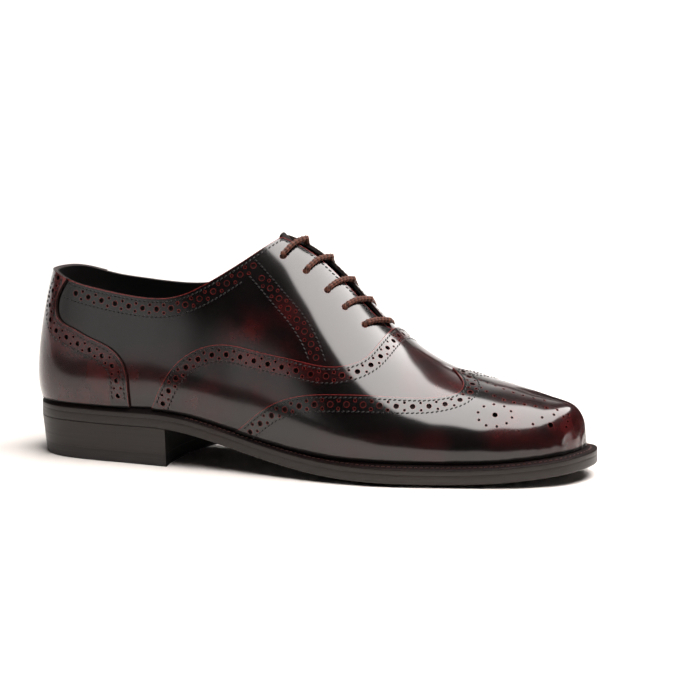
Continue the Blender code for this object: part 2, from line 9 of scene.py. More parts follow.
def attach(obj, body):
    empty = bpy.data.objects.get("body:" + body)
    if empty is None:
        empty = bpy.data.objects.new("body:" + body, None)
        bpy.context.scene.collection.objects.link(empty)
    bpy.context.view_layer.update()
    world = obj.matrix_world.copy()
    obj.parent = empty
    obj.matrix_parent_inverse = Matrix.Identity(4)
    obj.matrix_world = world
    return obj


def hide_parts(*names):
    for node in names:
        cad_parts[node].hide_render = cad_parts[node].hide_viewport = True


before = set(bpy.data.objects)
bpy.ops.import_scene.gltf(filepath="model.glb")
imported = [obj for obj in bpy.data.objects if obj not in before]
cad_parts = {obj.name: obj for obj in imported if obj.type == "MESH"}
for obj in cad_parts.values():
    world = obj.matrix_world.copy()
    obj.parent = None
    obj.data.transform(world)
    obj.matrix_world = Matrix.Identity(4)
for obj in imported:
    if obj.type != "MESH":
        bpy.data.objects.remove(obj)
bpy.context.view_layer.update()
mm = 0.001
sides = lateral, medial = -1.0, 1.0     # by the sign of Y
highest = 999.0                         # a seam's end on the opening or on the ridge

last = {
    "columns": ("x", "spine", "axis", "lateral", "medial", "sole", "rise", "side", "top",
                "tuckLateral", "tuckMedial", "welt"),
    "sections": np.array((
        (2.0, 46, 0.0, 0.0, 0.0, 19.7, 124, 2.0, 1.6, 3.0, 3.0, 1.4),
        (5.0, 46, 0.0, 14.0, 14.0, 19.7, 124, 2.0, 1.6, 3.0, 3.0, 1.4),
        (14.3, 47, 0.0, 25.0, 25.0, 19.7, 123, 2.0, 1.6, 2.8, 2.8, 1.6),
        (32.4, 50, 0.0, 31.0, 31.0, 19.7, 121, 2.0, 1.6, 2.8, 2.8, 2.0),
        (60, 64, 0.0, 33.5, 31.5, 19.7, 115, 2.0, 1.7, 3.0, 3.5, 2.5),
        (90, 91, -0.5, 35.5, 29.0, 19.0, 107, 1.95, 1.8, 3.2, 5.0, 2.8),
        (120, 120, -1.5, 35.5, 29.0, 12.6, 101, 1.85, 1.95, 3.4, 5.5, 3.2),
        (150, 150, -1.5, 39.5, 34.5, 6.4, 96.8, 1.8, 2.0, 3.4, 5.0, 4.0),
        (180, 180, 0.5, 45.0, 41.5, 2.7, 73.7, 1.85, 2.0, 3.2, 4.0, 5.0),
        (205, 205, 2.5, 46.0, 45.5, 1.8, 51.6, 2.0, 2.0, 3.0, 3.0, 5.5),
        (230, 230, 5.0, 42.0, 43.0, 1.6, 39.5, 2.15, 2.0, 2.8, 2.8, 5.8),
        (255, 255, 6.0, 35.5, 37.0, 2.4, 32.5, 2.2, 2.0, 2.4, 2.4, 6.2),
        (274, 274, 7.0, 27.5, 28.5, 4.0, 26, 2.1, 2.0, 1.6, 1.6, 6.3),
        (285.5, 285.5, 7.5, 18.0, 18.5, 5.3, 21.3, 2.0, 2.0, 0.8, 0.8, 6.2),
        (290.5, 290.5, 8.0, 8.7, 8.7, 6.0, 13, 2.0, 2.0, 0.2, 0.2, 6.0),
        (292, 292, 8.0, 0.0, 0.0, 6.3, 0, 2.0, 2.0, 0.0, 0.0, 6.0),
    )),
    "heelOdd": ("lateral", "medial"),
    "toeOdd": ("lateral", "medial", "rise", "tuckLateral", "tuckMedial"),
    "seat": 9.3,                # the upper's lower edge above the tread
    "tuckHeight": 8.0,
    "toeSlope": 0.15,           # the tread's slope past the toe's tip
    "buildUp": (1.6, 160.0, 210.0),     # depth of the wall under vamp and cap, from and to station
    "centre": np.array((148.4, 2.2, 0.0)),
}


def naturalSpline(knots, values, at):
    # cubic between the rows of a table, straight at both ends
    count = len(knots)
    gaps = np.diff(knots)
    system = np.eye(count)
    row = np.arange(1, count - 1)
    system[row, row - 1] = gaps[:-1]
    system[row, row] = 2 * (gaps[:-1] + gaps[1:])
    system[row, row + 1] = gaps[1:]
    bend = np.zeros(values.shape)
    bend[1:-1] = 6 * np.diff(np.diff(values, axis=0) / gaps[:, None], axis=0)
    bend = np.linalg.solve(system, bend)
    at = np.asarray(at, float)
    k = np.clip(np.searchsorted(knots, at, side="right") - 1, 0, count - 2)
    gap = gaps[k][..., None]
    past = (at - knots[k])[..., None]
    left = (knots[k + 1] - at)[..., None]
    curved = (bend[k] * left**3 + bend[k + 1] * past**3) / (6 * gap)
    return (curved + (values[k] / gap - bend[k] * gap / 6) * left
            + (values[k + 1] / gap - bend[k + 1] * gap / 6) * past)


def smoothStep(low, high, value):
    # 0 below the range, 1 above it, a cubic ease between
    share = np.clip((np.asarray(value, float) - low) / (high - low), 0, 1)
    return share * share * (3 - 2 * share)


def unit(vectors):
    # each vector over its own length
    return vectors / np.maximum(np.linalg.norm(vectors, axis=-1, keepdims=True), 1e-12)


def lastKnots():
    # length along the feather edge; the outline is mirrored past heel and toe so that both are round
    rows, names = last["sections"], last["columns"]
    half = (rows[:, 3] + rows[:, 4]) / 2
    length = np.concatenate([[0], np.cumsum(np.hypot(np.diff(rows[:, 0]), np.diff(half)))])
    heelSign = np.array([-1 if name in last["heelOdd"] else 1 for name in names])
    toeSign = np.array([-1 if name in last["toeOdd"] else 1 for name in names])
    knots = np.concatenate([-length[3:0:-1], length, 2 * length[-1] - length[-2:-5:-1]])
    return knots, np.concatenate([rows[3:0:-1] * heelSign, rows, rows[-2:-5:-1] * toeSign]), length[-1]


knots, knotRows, toeTip = lastKnots()


def section(t):
    # every column of the last at a length along the feather edge
    return dict(zip(last["columns"], np.moveaxis(naturalSpline(knots, knotRows, t), -1, 0)))


denseT = np.linspace(0, toeTip, 3001)
denseX = section(denseT)["x"]
denseSole = section(denseT)["sole"]


def tOf(x):
    # length along the feather edge at a station
    return np.interp(x, denseX, denseT)


def xOf(t):
    # station at a length along the feather edge
    return np.interp(t, denseT, denseX)


def treadHeight(x):
    # the table's tread, straight on past the toe's tip
    return np.interp(x, denseX, denseSole) + last["toeSlope"] * np.maximum(x - denseX[-1], 0)


def lastPoint(side, t, v):
    # half section: a rounded quarter curve from the feather edge (v = 0) up to the spine (v = 1)
    s = section(t)
    reachX = s["x"] - s["spine"]
    reachY = side * np.where(side < 0, s["lateral"], s["medial"])
    tuck = np.where(side < 0, s["tuckLateral"], s["tuckMedial"])
    reach = np.maximum(np.hypot(reachX, reachY), 1e-9)
    angle = np.asarray(v, float) * np.pi / 2
    out = np.cos(angle).clip(0) ** (2 / s["side"])
    up = s["rise"] * np.sin(angle).clip(0) ** (2 / s["top"])
    bulge = 1 + tuck * (1 - np.exp(-np.abs(up) / last["tuckHeight"])) / reach
    return np.stack([s["spine"] + reachX * out * bulge, s["axis"] + reachY * out * bulge,
                     s["sole"] + last["seat"] + up], -1)


def lastNormal(side, t, v):
    # across two short steps of the last; level at the feather edge, straight ahead at the toe's tip
    side, t, v = np.broadcast_arrays(side, np.asarray(t, float), np.asarray(v, float))
    inside = np.minimum(t, toeTip - 0.3)
    ahead, rise = 0.1, 0.008
    low = np.clip(v - rise / 2, 0, 0.99)
    along = lastPoint(side, inside + ahead, v) - lastPoint(side, inside - ahead, v)
    across = lastPoint(side, inside, low + rise) - lastPoint(side, inside, low)
    normal = np.cross(along, across) * -side[..., None]
    normal[..., 2] *= smoothStep(-0.02, 0.08, v)
    normal[..., 1] *= 1 - smoothStep(0.99, 1.0, v) * (xOf(t) > throatEnd)
    tip = smoothStep(toeTip - 0.6, toeTip, t)[..., None]
    return unit(unit(normal) * (1 - tip) + np.array((1.0, 0, 0)) * tip)


def buildUp(t):
    # depth of the upper's wall under vamp and cap, eased in along the shoe
    depth, start, stop = last["buildUp"]
    return depth * smoothStep(start, stop, xOf(t))


pleats = {
    "depth": 0.34, "fade": 6.5, "period": 6.4, "reach": 46.0, "wave": 0.05,
    "wander": ((1.5, 0.23), (0.9, 0.09)),       # how far the folds stray, and how often per millimetre
    "groups": 0.19,                             # deep and shallow folds take turns at this rate
}


def relief(side, t, v):
    # lasting pleats along the toe's lower edge, cosine folds that fade upwards, and a slow uneven wave
    s = section(t)
    up = s["rise"] * np.sin(np.asarray(v, float) * np.pi / 2).clip(0)
    back = toeTip - t
    (far, rate), (slight, slowRate) = pleats["wander"]
    wander = far * np.sin(back * rate * (1 + 0.12 * side)) + slight * np.sin(back * slowRate)
    folds = np.cos(2 * np.pi * back / pleats["period"] + wander)
    folds = folds * (0.3 + 0.7 * np.cos(back * pleats["groups"] + 0.5 * side)**2) * pleats["depth"]
    folds = folds * np.exp(-up / pleats["fade"]) * (1 - smoothStep(0.3, 1, back / pleats["reach"]))
    slow = np.sin(t / 6.3 + v * 5 + side) * np.sin(v * 9 + t / 17) + 0.6 * np.sin(t / 3.1 - v * 11)
    return folds * smoothStep(0, 4, back) + pleats["wave"] * slow * smoothStep(0, 25, back)


def unfold(fold, ab):
    # a panel's flat pattern: opened at the heel (a is signed length) or over the ridge (b is signed share)
    a, b = ab[..., 0], ab[..., 1]
    if fold == "heel":
        return np.where(a < 0, lateral, medial), np.abs(a), b
    return np.where(b < 0, lateral, medial), a, 1 - np.abs(b)


def folded(fold, side, tv):
    # the way back: pattern places of a line on one side
    if fold == "heel":
        return np.stack([tv[:, 0] * side, tv[:, 1]], -1)
    return np.stack([tv[:, 0], (1 - tv[:, 1]) * side], -1)


def skin(fold, ab, height):
    # point of the leather at a height above the upper's outer face
    side, t, v = unfold(fold, ab)
    lift = height - buildUp(t) + relief(side, t, v)
    return lastPoint(side, t, v) + lastNormal(side, t, v) * lift[..., None]


def skinSteps(fold, ab, height):
    # how the leather's point moves with each pattern direction, by central differences
    da, db = 0.12, 0.0015
    heel = fold == "heel"
    a = ab[..., 0] if heel else np.minimum(ab[..., 0], toeTip - 0.3)
    b = ab[..., 1].clip(db if heel else db - 1, 1 - db)
    stepA = skin(fold, np.stack([a + da, b], -1), height) - skin(fold, np.stack([a - da, b], -1), height)
    stepB = skin(fold, np.stack([a, b + db], -1), height) - skin(fold, np.stack([a, b - db], -1), height)
    return stepA / (2 * da), stepB / (2 * db)


def skinNormal(fold, ab, height):
    # across the two skin steps, turned outwards; the last's own normal at the toe's tip
    stepA, stepB = skinSteps(fold, ab, height)
    side, t, v = unfold(fold, ab)
    base = lastNormal(side, t, v)
    normal = unit(np.cross(stepA, stepB))
    normal *= np.where(np.sum(normal * base, -1, keepdims=True) < 0, -1, 1)
    tip = smoothStep(toeTip - 1.2, toeTip - 0.2, t)[..., None]
    return unit(normal * (1 - tip) + base * tip)


def sideStep(fold, ab, direction):
    # pattern step that makes a given move in space: least squares against the two skin steps
    stepA, stepB = skinSteps(fold, ab, 0.0)
    aa, bb, cross = (np.sum(p * q, -1) for p, q in ((stepA, stepA), (stepB, stepB), (stepA, stepB)))
    da, db = np.sum(direction * stepA, -1), np.sum(direction * stepB, -1)
    size = aa * bb - cross * cross
    return np.stack([(da * bb - db * cross) / size, (db * aa - da * cross) / size], -1)


# seams: station and height, from the feather edge to the opening or the ridge
seams = {
    "vamp": np.array(((75.5, 0), (80, 37.5), (90, 53), (104, 62.5), (120, 64.6), (136, 62.2), (158, 59),
                      (179.5, 57.2), (188, 60), (192.2, 65.5), (194, highest))),
    "cap": np.array(((123.5, 0), (129, 25.5), (140, 34), (158, 41.7), (180, 43.8), (212, 42.5), (229, 42.6),
                     (234.5, 44.3), (234.5, 46.8), (230.5, 49.6), (224, highest))),
    "counter": np.array(((63, 0), (62.8, 41), (60, 52), (53, 59), (40, 64), (28, 68.5), (19, 72.5), (16, 78),
                         (20.5, highest))),
    "vampTuck": np.array(((137, 0), (143, 20), (158, 30), (180, 32), (212, 31), (236, 31), (247, 35),
                          (248, highest))),        # the vamp's hidden edge under the cap
}
opening = {
    "collar": np.array(((2.0, 95.7, 95.7), (10, 95.2, 94.4), (24, 92, 90.6), (44, 88.8, 88), (72, 86, 86.6),
                        (88, 87.5, 88.8), (105.5, 95.7, 96.6), (125.5, 109.2, 109.6), (137, 118, 118))),
    "throat": np.array(((128, 5.0), (150, 5.6), (170, 5.4), (186, 4.0), (191.8, 2.6), (193.5, 0.0))),
    "corner": 0.035, "climb": 0.04,     # rounding where collar and throat meet, rise past the collar's table
}
throatEnd = opening["throat"][-1, 0]


def shareAtHeight(t, z):
    # share of the half section at a height: its upward curve turned round
    s = section(t)
    share = np.clip((z - s["sole"] - last["seat"]) / np.maximum(s["rise"], 1e-6), 0, 1)
    return np.arcsin(share ** (s["top"] / 2)) * 2 / np.pi


def shareAtGap(side, t, gap):
    # share at a distance from the middle: its outward curve turned round
    s = section(t)
    reach = s["lateral"] + s["tuckLateral"] if side < 0 else s["medial"] + s["tuckMedial"]
    return np.arccos(np.clip(gap / np.maximum(reach, 1e-6), 0, 1) ** (s["side"] / 2)) * 2 / np.pi


def openingShare(side, t):
    # collar behind, the throat's gap in the middle, the ridge in front; the corner is a soft minimum
    t = np.abs(np.asarray(t, float))
    x = xOf(t)
    rows = opening["collar"]
    column = rows[:, 1:2] if side < 0 else rows[:, 2:3]
    at = tOf(rows[:, 0])
    height = naturalSpline(np.concatenate([-at[2:0:-1], at]), np.concatenate([column[2:0:-1], column]),
                           np.minimum(t, at[-1]))[..., 0]
    collar = shareAtHeight(t, height) + np.maximum(x - rows[-1, 0], 0) * opening["climb"]
    gaps = opening["throat"]
    throat = np.where(x < gaps[0, 0], 1.0, shareAtGap(side, t, np.interp(x, gaps[:, 0], gaps[:, 1])))
    blend = np.maximum(opening["corner"] - np.abs(collar - throat), 0) / opening["corner"]
    edge = np.minimum(collar, throat) - blend * blend * opening["corner"] / 4
    return np.where(x < throatEnd - 0.01, edge, 1.0)


def walkAlong(side, tv):
    # length walked over the last at each point of a line
    points = lastPoint(side, tv[:, 0], tv[:, 1])
    return np.concatenate([[0], np.cumsum(np.linalg.norm(np.diff(points, axis=0), axis=1))])


def pick(line, walk, at):
    # points of a line at given lengths of its walk
    return np.stack([np.interp(at, walk, column) for column in line.T], -1)


def evenly(side, tv, step):
    # the same line with its points a given step apart on the last
    walk = walkAlong(side, tv)
    return pick(tv, walk, np.linspace(0, walk[-1], max(int(round(walk[-1] / step)), 2) + 1))


lineStep = 0.8      # between the points of a seam or an edge


def seamLine(side, name):
    # spline through a seam's table, ended on the opening where the table says so
    rows = seams[name]
    t = tOf(rows[:, 0])
    v = shareAtHeight(t, rows[:, 1])
    if rows[-1, 1] == highest:
        v[-1] = openingShare(side, t[-1:])[0]
    knot = walkAlong(side, np.stack([t, v], -1))
    fine = naturalSpline(knot, np.stack([t, v], -1), np.linspace(0, knot[-1], 500))
    fine[1:-1, 1] = fine[1:-1, 1].clip(0.001, 0.999)
    return evenly(side, fine, lineStep)


seam = {(side, name): seamLine(side, name) for side in sides for name in seams}


def openingLine(side, start, stop):
    # the upper's edge between two stations, by way of collar, corner and throat
    t = np.linspace(tOf(start), tOf(stop), 900)
    return evenly(side, np.stack([t, openingShare(side, t)], -1), lineStep)


def beside(side, tv, distance):
    # a line moved sideways over the leather, to the left of its run as seen from outside
    ab = folded("heel", side, tv)
    inner = np.stack([ab[:, 0], ab[:, 1].clip(0.004, 0.996)], -1)
    run = unit(np.gradient(skin("heel", inner, 0.0), axis=0))
    left = unit(np.cross(skinNormal("heel", inner, 0.0), run)) * -side
    moved = inner + sideStep("heel", inner, left * distance)
    return np.stack([np.abs(moved[:, 0]), moved[:, 1]], -1)


# mesh writing

def makeMesh(name, points, faces, materials, slots=None, cornerNormals=None, fields=None, sharpAngle=50):
    # points in shoe millimetres, faces as one list of index arrays (each array has one face size)
    mesh = bpy.data.meshes.new(name)
    sizes = np.concatenate([np.full(len(f), f.shape[1]) for f in faces])
    corners = np.concatenate([f.ravel() for f in faces]).astype(np.int32)
    mesh.vertices.add(len(points))
    mesh.vertices.foreach_set("co", ((points - last["centre"]) * mm).astype(np.float32).ravel())
    mesh.loops.add(len(corners))
    mesh.loops.foreach_set("vertex_index", corners)
    mesh.polygons.add(len(sizes))
    mesh.polygons.foreach_set("loop_start", np.concatenate([[0], np.cumsum(sizes)[:-1]]).astype(np.int32))
    for material in materials:
        mesh.materials.append(material)
    if slots is not None:
        mesh.polygons.foreach_set("material_index", slots.astype(np.int32))
    mesh.update(calc_edges=True)
    mesh.validate()
    mesh.shade_smooth()
    if cornerNormals is None:
        mesh.set_sharp_from_angle(angle=np.radians(sharpAngle))
    else:
        mesh.normals_split_custom_set(cornerNormals)
    for field, values in (fields or {}).items():
        mesh.attributes.new(field, "FLOAT", "POINT").data.foreach_set("value", values.astype(np.float32))
    piece = bpy.data.objects.new(name, mesh)
    bpy.context.collection.objects.link(piece)
    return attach(piece, "root")


def gridFaces(rows, columns, start=0, wrapRows=False, wrapColumns=False):
    # four corners of each cell of a grid, joined round where asked
    index = np.arange(rows * columns).reshape(rows, columns) + start
    if wrapRows:
        index = np.concatenate([index, index[:1]])
    if wrapColumns:
        index = np.concatenate([index, index[:, :1]], 1)
    return np.stack([index[:-1, :-1], index[1:, :-1], index[1:, 1:], index[:-1, 1:]], -1).reshape(-1, 4)


def outward(points, faces):
    # faces turned so that the enclosed volume counts as positive
    fans = [(group[:, 0], group[:, k], group[:, k + 1]) for group in faces for k in range(1, group.shape[1] - 1)]
    volume = sum(np.einsum("ij,ij->", points[a], np.cross(points[b], points[c])) for a, b, c in fans)
    return faces if volume > 0 else [group[:, ::-1] for group in faces]


def weld(points, faces, grain=0.002):
    # points closer than the grain become one, and faces that lose their area go
    _, first, member = np.unique(np.round(points / grain).astype(np.int64), axis=0,
                                 return_index=True, return_inverse=True)
    member = member.reshape(-1)
    kept = []
    for group in faces:
        group = member[group]
        if group.shape[1] == 3:
            kept.append(group[(group != np.roll(group, -1, 1)).all(1)])
            continue
        same = group == np.roll(group, -1, 1)
        kept.append(group[~same.any(1)])
        one = group[same.sum(1) == 1]
        if len(one):
            drop = np.argmax(one == np.roll(one, -1, 1), 1)
            order = (drop[:, None] + np.arange(1, 4)) % 4
            three = np.take_along_axis(one, order, 1)
            kept.append(three[(three != np.roll(three, -1, 1)).all(1)])
    return points[first], [group for group in kept if len(group)], first


# nodes

def newMaterial(name, **sockets):
    # principled material with fixed values on its sockets
    material = bpy.data.materials.new(name)
    material.use_nodes = True
    shader = material.node_tree.nodes["Principled BSDF"]
    for socket, value in sockets.items():
        shader.inputs[socket.replace("_", " ")].default_value = value
    return material, material.node_tree, shader


def node(tree, kind, **settings):
    # a node; settings that start with in_ go to its inputs
    made = tree.nodes.new(kind)
    for key, value in settings.items():
        if key.startswith("in_"):
            made.inputs[key[3:].replace("_", " ")].default_value = value
        else:
            setattr(made, key, value)
    return made


def link(tree, source, target):
    # a node's output is linked, a plain value is set
    if isinstance(source, bpy.types.NodeSocket):
        tree.links.new(source, target)
    else:
        target.default_value = (*source, 1) if isinstance(source, tuple) else source


def noise(tree, scale, detail=3.0, roughness=0.55, stretch=(1, 1, 1), place=(0, 0, 0)):
    # noise over the piece's own coordinates, stretched by a mapping
    place = node(tree, "ShaderNodeMapping", in_Scale=stretch, in_Location=place)
    link(tree, node(tree, "ShaderNodeTexCoord").outputs["Object"], place.inputs["Vector"])
    made = node(tree, "ShaderNodeTexNoise", in_Scale=scale, in_Detail=detail, in_Roughness=roughness)
    link(tree, place.outputs["Vector"], made.inputs["Vector"])
    return made.outputs["Fac"]


def ramp(tree, source, low, high, start=0.0, stop=1.0):
    # value carried from one range to another with smooth ends
    made = node(tree, "ShaderNodeMapRange", interpolation_type="SMOOTHSTEP", in_From_Min=low, in_From_Max=high,
                in_To_Min=start, in_To_Max=stop)
    link(tree, source, made.inputs["Value"])
    return made.outputs["Result"]


def mixColour(tree, factor, first, second):
    # the first colour at factor 0, the second at 1
    made = node(tree, "ShaderNodeMix", data_type="RGBA")
    for value, socket in ((factor, 0), (first, 6), (second, 7)):    # factor and the two colours
        link(tree, value, made.inputs[socket])
    return made.outputs[2]


def calc(tree, kind, first, second):
    # one sum of two values
    made = node(tree, "ShaderNodeMath", operation=kind)
    link(tree, first, made.inputs[0])
    link(tree, second, made.inputs[1])
    return made.outputs["Value"]


def field(tree, name):
    # a value kept at each point of the mesh
    return node(tree, "ShaderNodeAttribute", attribute_name=name).outputs["Fac"]


def bump(tree, shader, *layers):
    # bumps one on another: height source, strength, distance in metres
    before = None
    for source, strength, distance in layers:
        made = node(tree, "ShaderNodeBump", in_Strength=strength, in_Distance=distance)
        link(tree, source, made.inputs["Height"])
        if before is not None:
            link(tree, before, made.inputs["Normal"])
        before = made.outputs["Normal"]
    link(tree, before, shader.inputs["Normal"])


def mottled(name, dark, light, pattern, *bumps, **sockets):
    # two colours mixed by one noise; each bump has its noise, strength and height in metres
    material, tree, shader = newMaterial(name, **sockets)
    patch = noise(tree, *pattern)
    link(tree, mixColour(tree, patch, dark, light), shader.inputs["Base Color"])
    layers = [(patch if grain is pattern else noise(tree, *grain), *size) for grain, *size in bumps]
    if layers:
        bump(tree, shader, *layers)
    return material


leather = {
    "black": (0.0022, 0.0014, 0.0015), "oxblood": (0.026, 0.0022, 0.0026), "glow": (0.058, 0.005, 0.005),
    "raw": (0.13, 0.014, 0.012), "rough": 0.36, "coatRough": 0.13,
    "stripReach": (1.5, 3.6), "burnishFrom": 9.0, "burnishDark": -0.18,     # millimetres from hole and edge
    # the last pair on the next line: millimetres above the feather edge over which the painted crease shade fades out
    "rimReach": (0.10, 0.42), "rimRaw": 0.75, "rawFade": 0.35, "creaseShade": (2.2, 3.4),
    "redFrom": (0.46, 0.84), "glowFrom": (0.60, 0.98), "redShift": 0.24,    # tones where red and its glow begin
}


def shoeLeather(name, place, redness=0.5, rawBand=0.5, stripRed=0.13, burnish=22.0):
    # burnished oxblood: red punched strips, black beside them, red clouds between, raw red cut edges
    # and painted shade in the crease at the sole, black and without coat; cut, rim and foot are millimetres from edge,
    # hole and feather edge
    material, tree, shader = newMaterial(name, Coat_Roughness=leather["coatRough"], Coat_IOR=1.5,
                                         Specular_IOR_Level=0.06)
    cut, rim = field(tree, "cut"), field(tree, "rim")
    cloud = noise(tree, 26.0, 3.0, 0.5, place=place)
    streak = noise(tree, 75.0, 4.0, 0.6, (1.0, 1.0, 0.45), place)
    speck = noise(tree, 420.0, 3.0, 0.6, place=place)
    tone = calc(tree, "ADD", calc(tree, "MULTIPLY", cloud, 0.72), calc(tree, "MULTIPLY", streak, 0.28))
    tone = calc(tree, "ADD", tone, calc(tree, "MULTIPLY", calc(tree, "SUBTRACT", speck, 0.5), 0.10))
    strip = calc(tree, "ADD", ramp(tree, rim, *leather["stripReach"], stripRed, 0.0),
                 ramp(tree, cut, leather["burnishFrom"], burnish, leather["burnishDark"], 0.0))
    tone = calc(tree, "ADD", tone, strip)
    red, hot = (ramp(tree, tone, *[limit - leather["redShift"] * redness for limit in leather[key]])
                for key in ("redFrom", "glowFrom"))
    colour = mixColour(tree, red, leather["black"], leather["oxblood"])
    colour = mixColour(tree, hot, colour, leather["glow"])
    rawEdge = calc(tree, "MAXIMUM", ramp(tree, cut, rawBand - leather["rawFade"], rawBand, 1.0, 0.0),
                   ramp(tree, rim, *leather["rimReach"], leather["rimRaw"], 0.0))
    rawEdge = calc(tree, "MULTIPLY", rawEdge, ramp(tree, noise(tree, 900.0, 2.0), 0.30, 0.55, 0.45, 1.0))
    foot = calc(tree, "ADD", field(tree, "foot"), calc(tree, "MULTIPLY", streak, 1.6))
    # painted shade: the lowest few millimetres above the feather edge turn black and lose their coat, standing in for
    # the shaded crease over the welt
    outsideCreaseShade = ramp(tree, foot, *leather["creaseShade"])
    colour = mixColour(tree, outsideCreaseShade, leather["black"], mixColour(tree, rawEdge, colour, leather["raw"]))
    link(tree, colour, shader.inputs["Base Color"])
    link(tree, outsideCreaseShade, shader.inputs["Coat Weight"])
    rough = calc(tree, "ADD", leather["rough"] - 0.05, calc(tree, "MULTIPLY", streak, 0.10))
    link(tree, calc(tree, "ADD", rough, calc(tree, "MULTIPLY", rawEdge, 0.3)), shader.inputs["Roughness"])
    bump(tree, shader, (noise(tree, 160.0, 3.0, 0.6, place=place), 0.10, 0.0006),
         (noise(tree, 2600.0, 2.0, 0.5), 0.05, 0.0002))
    return material


def cutEdge(name, colour, rough=0.6):
    # fibrous raw side of the leather
    fibre = (1500.0, 3.0, 0.6)
    return mottled(name, tuple(c * 0.5 for c in colour), colour, fibre, (fibre, 0.4, 0.0002),
                   Roughness=rough, Specular_IOR_Level=0.05)


# panels: a flat pattern is cut and punched, then laid over the last

brogue = {
    "pitch": 8.0, "big": 1.35, "small": 0.70, "spread": 2.0, "bigSides": 18, "smallSides": 10,
    "bigFrom": 0.8,         # holes of a larger radius get the finer circle
    "ring": 0.42,           # circle of points that follows each hole
}
panel = {
    "shareSize": 85.0,      # a share of the section counts as this many millimetres on the flat
    "clearBorder": 0.6, "clearHole": 0.8,       # the lattice keeps off edges and holes
    "bulge": 0.10, "bulgeDepth": 0.3, "turn": 0.7,      # roundness of a cut edge
    "farRim": 9.0, "rimWall": 0.15,     # distance kept for points far from a hole, and that of a hole's wall
}


def stripHoles(side, tv, offset, skip):
    # one row of big holes with pairs of small ones between: side, length, share and radius of each
    centre = beside(side, tv, offset)
    walk = walkAlong(side, centre)
    run = walk[-1] - skip[0] - skip[1]
    count = max(int(round(run / brogue["pitch"])), 1)
    at = skip[0] + np.linspace(0, run, count + 1)
    between = (at[:-1] + at[1:]) / 2
    rows = [(pick(centre, walk, at), brogue["big"])]
    for spread in (brogue["spread"], -brogue["spread"]):
        rows.append((pick(beside(side, tv, offset + spread), walk, between), brogue["small"]))
    return [sized(side, tv, radius) for tv, radius in rows]


def insidePolygon(points, polygon):
    # even-odd count of crossings to the right of each point
    x, y = points[:, :1], points[:, 1:]
    ax, ay = polygon[:, 0], polygon[:, 1]
    bx, by = np.roll(ax, -1), np.roll(ay, -1)
    spans = (ay > y) != (by > y)
    rise = np.where(by == ay, 1e-12, by - ay)
    return (spans & (x < (bx - ax) * (y - ay) / rise + ax)).sum(1) % 2 == 1


def nearest(points, others):
    # distance from each point to the closest of the others, in blocks
    blocks = [np.linalg.norm(part[:, None] - others[None], axis=-1).min(1) for part in
              np.array_split(points, max(len(points) // 1500, 1))]
    return np.concatenate(blocks)


def ringsAround(fold, ab, radius, around):
    # circles on the leather, worked back into the pattern
    along = unit(skinSteps(fold, ab, 0.0)[0])
    across = np.cross(skinNormal(fold, ab, 0.0), along)
    angle = np.arange(around) * 2 * np.pi / around
    move = radius * (np.cos(angle)[None, :, None] * along[:, None] + np.sin(angle)[None, :, None] * across[:, None])
    centre = np.repeat(ab[:, None], around, 1)
    return centre + sideStep(fold, centre, move)


def flatPattern(fold, border, holes, spacing):
    # triangles on the flat between border and holes: circles round each hole, a shifted lattice between
    scale = np.array((1.0, panel["shareSize"]))
    flat = [border * scale]
    edges = [np.stack([np.arange(len(border)), np.roll(np.arange(len(border)), -1)], -1)]
    start = len(border)
    places, radii, limits = [], [], []
    for radius in np.unique(holes[:, 3]):
        group = holes[holes[:, 3] == radius]
        ab = np.concatenate([folded(fold, row[0], row[None, 1:3]) for row in group])
        around = brogue["bigSides"] if radius > brogue["bigFrom"] else brogue["smallSides"]
        flat += [ringsAround(fold, ab, size, around).reshape(-1, 2) * scale
                 for size in (radius, radius + brogue["ring"])]
        index = start + np.arange(len(ab) * around).reshape(-1, around)
        edges.append(np.stack([index, np.roll(index, -1, 1)], -1).reshape(-1, 2))
        start += 2 * len(ab) * around
        places.append(ab)
        radii.append(np.full(len(ab), radius))
        limits.append(np.full(len(ab), (1 + 2 * np.cos(2 * np.pi / around)) / 6 + np.cos(np.pi / around) / 2))
    places, radii, limits = (np.concatenate(group) for group in (places, radii, limits))
    centres = skin(fold, places, 0.0)
    lowest, top = border.min(0), border.max(0)
    stepB = spacing / scale[1]
    rowB = np.arange(lowest[1] + stepB / 2, top[1], stepB)
    gridA, gridB = np.meshgrid(np.arange(lowest[0] + spacing / 2, top[0], spacing), rowB)
    gridA = gridA + spacing / 2 * (np.arange(len(rowB)) % 2)[:, None]
    lattice = np.stack([gridA.ravel(), gridB.ravel()], -1)
    lattice = lattice[insidePolygon(lattice, border)]
    spots = skin(fold, lattice, 0.0)
    keep = nearest(spots, skin(fold, border, 0.0)) > panel["clearBorder"]
    keep &= (np.linalg.norm(spots[:, None] - centres[None], axis=-1) - radii).min(1) > panel["clearHole"]
    flat = np.concatenate([*flat, lattice[keep] * scale])
    corners, _, triangles, _, _, _ = delaunay_2d_cdt(list(map(Vector, flat.tolist())),
                                                     np.concatenate(edges).tolist(), [], 0, 1e-6)
    ab = np.array([tuple(c) for c in corners]) / scale
    triangles = np.array(triangles)
    middle = ab[triangles].mean(1)
    spots = skin(fold, middle, 0.0)
    inside = insidePolygon(middle, border)
    inside &= (np.linalg.norm(spots[:, None] - centres[None], axis=-1) > radii * limits).all(1)
    return ab, triangles[inside], places, radii


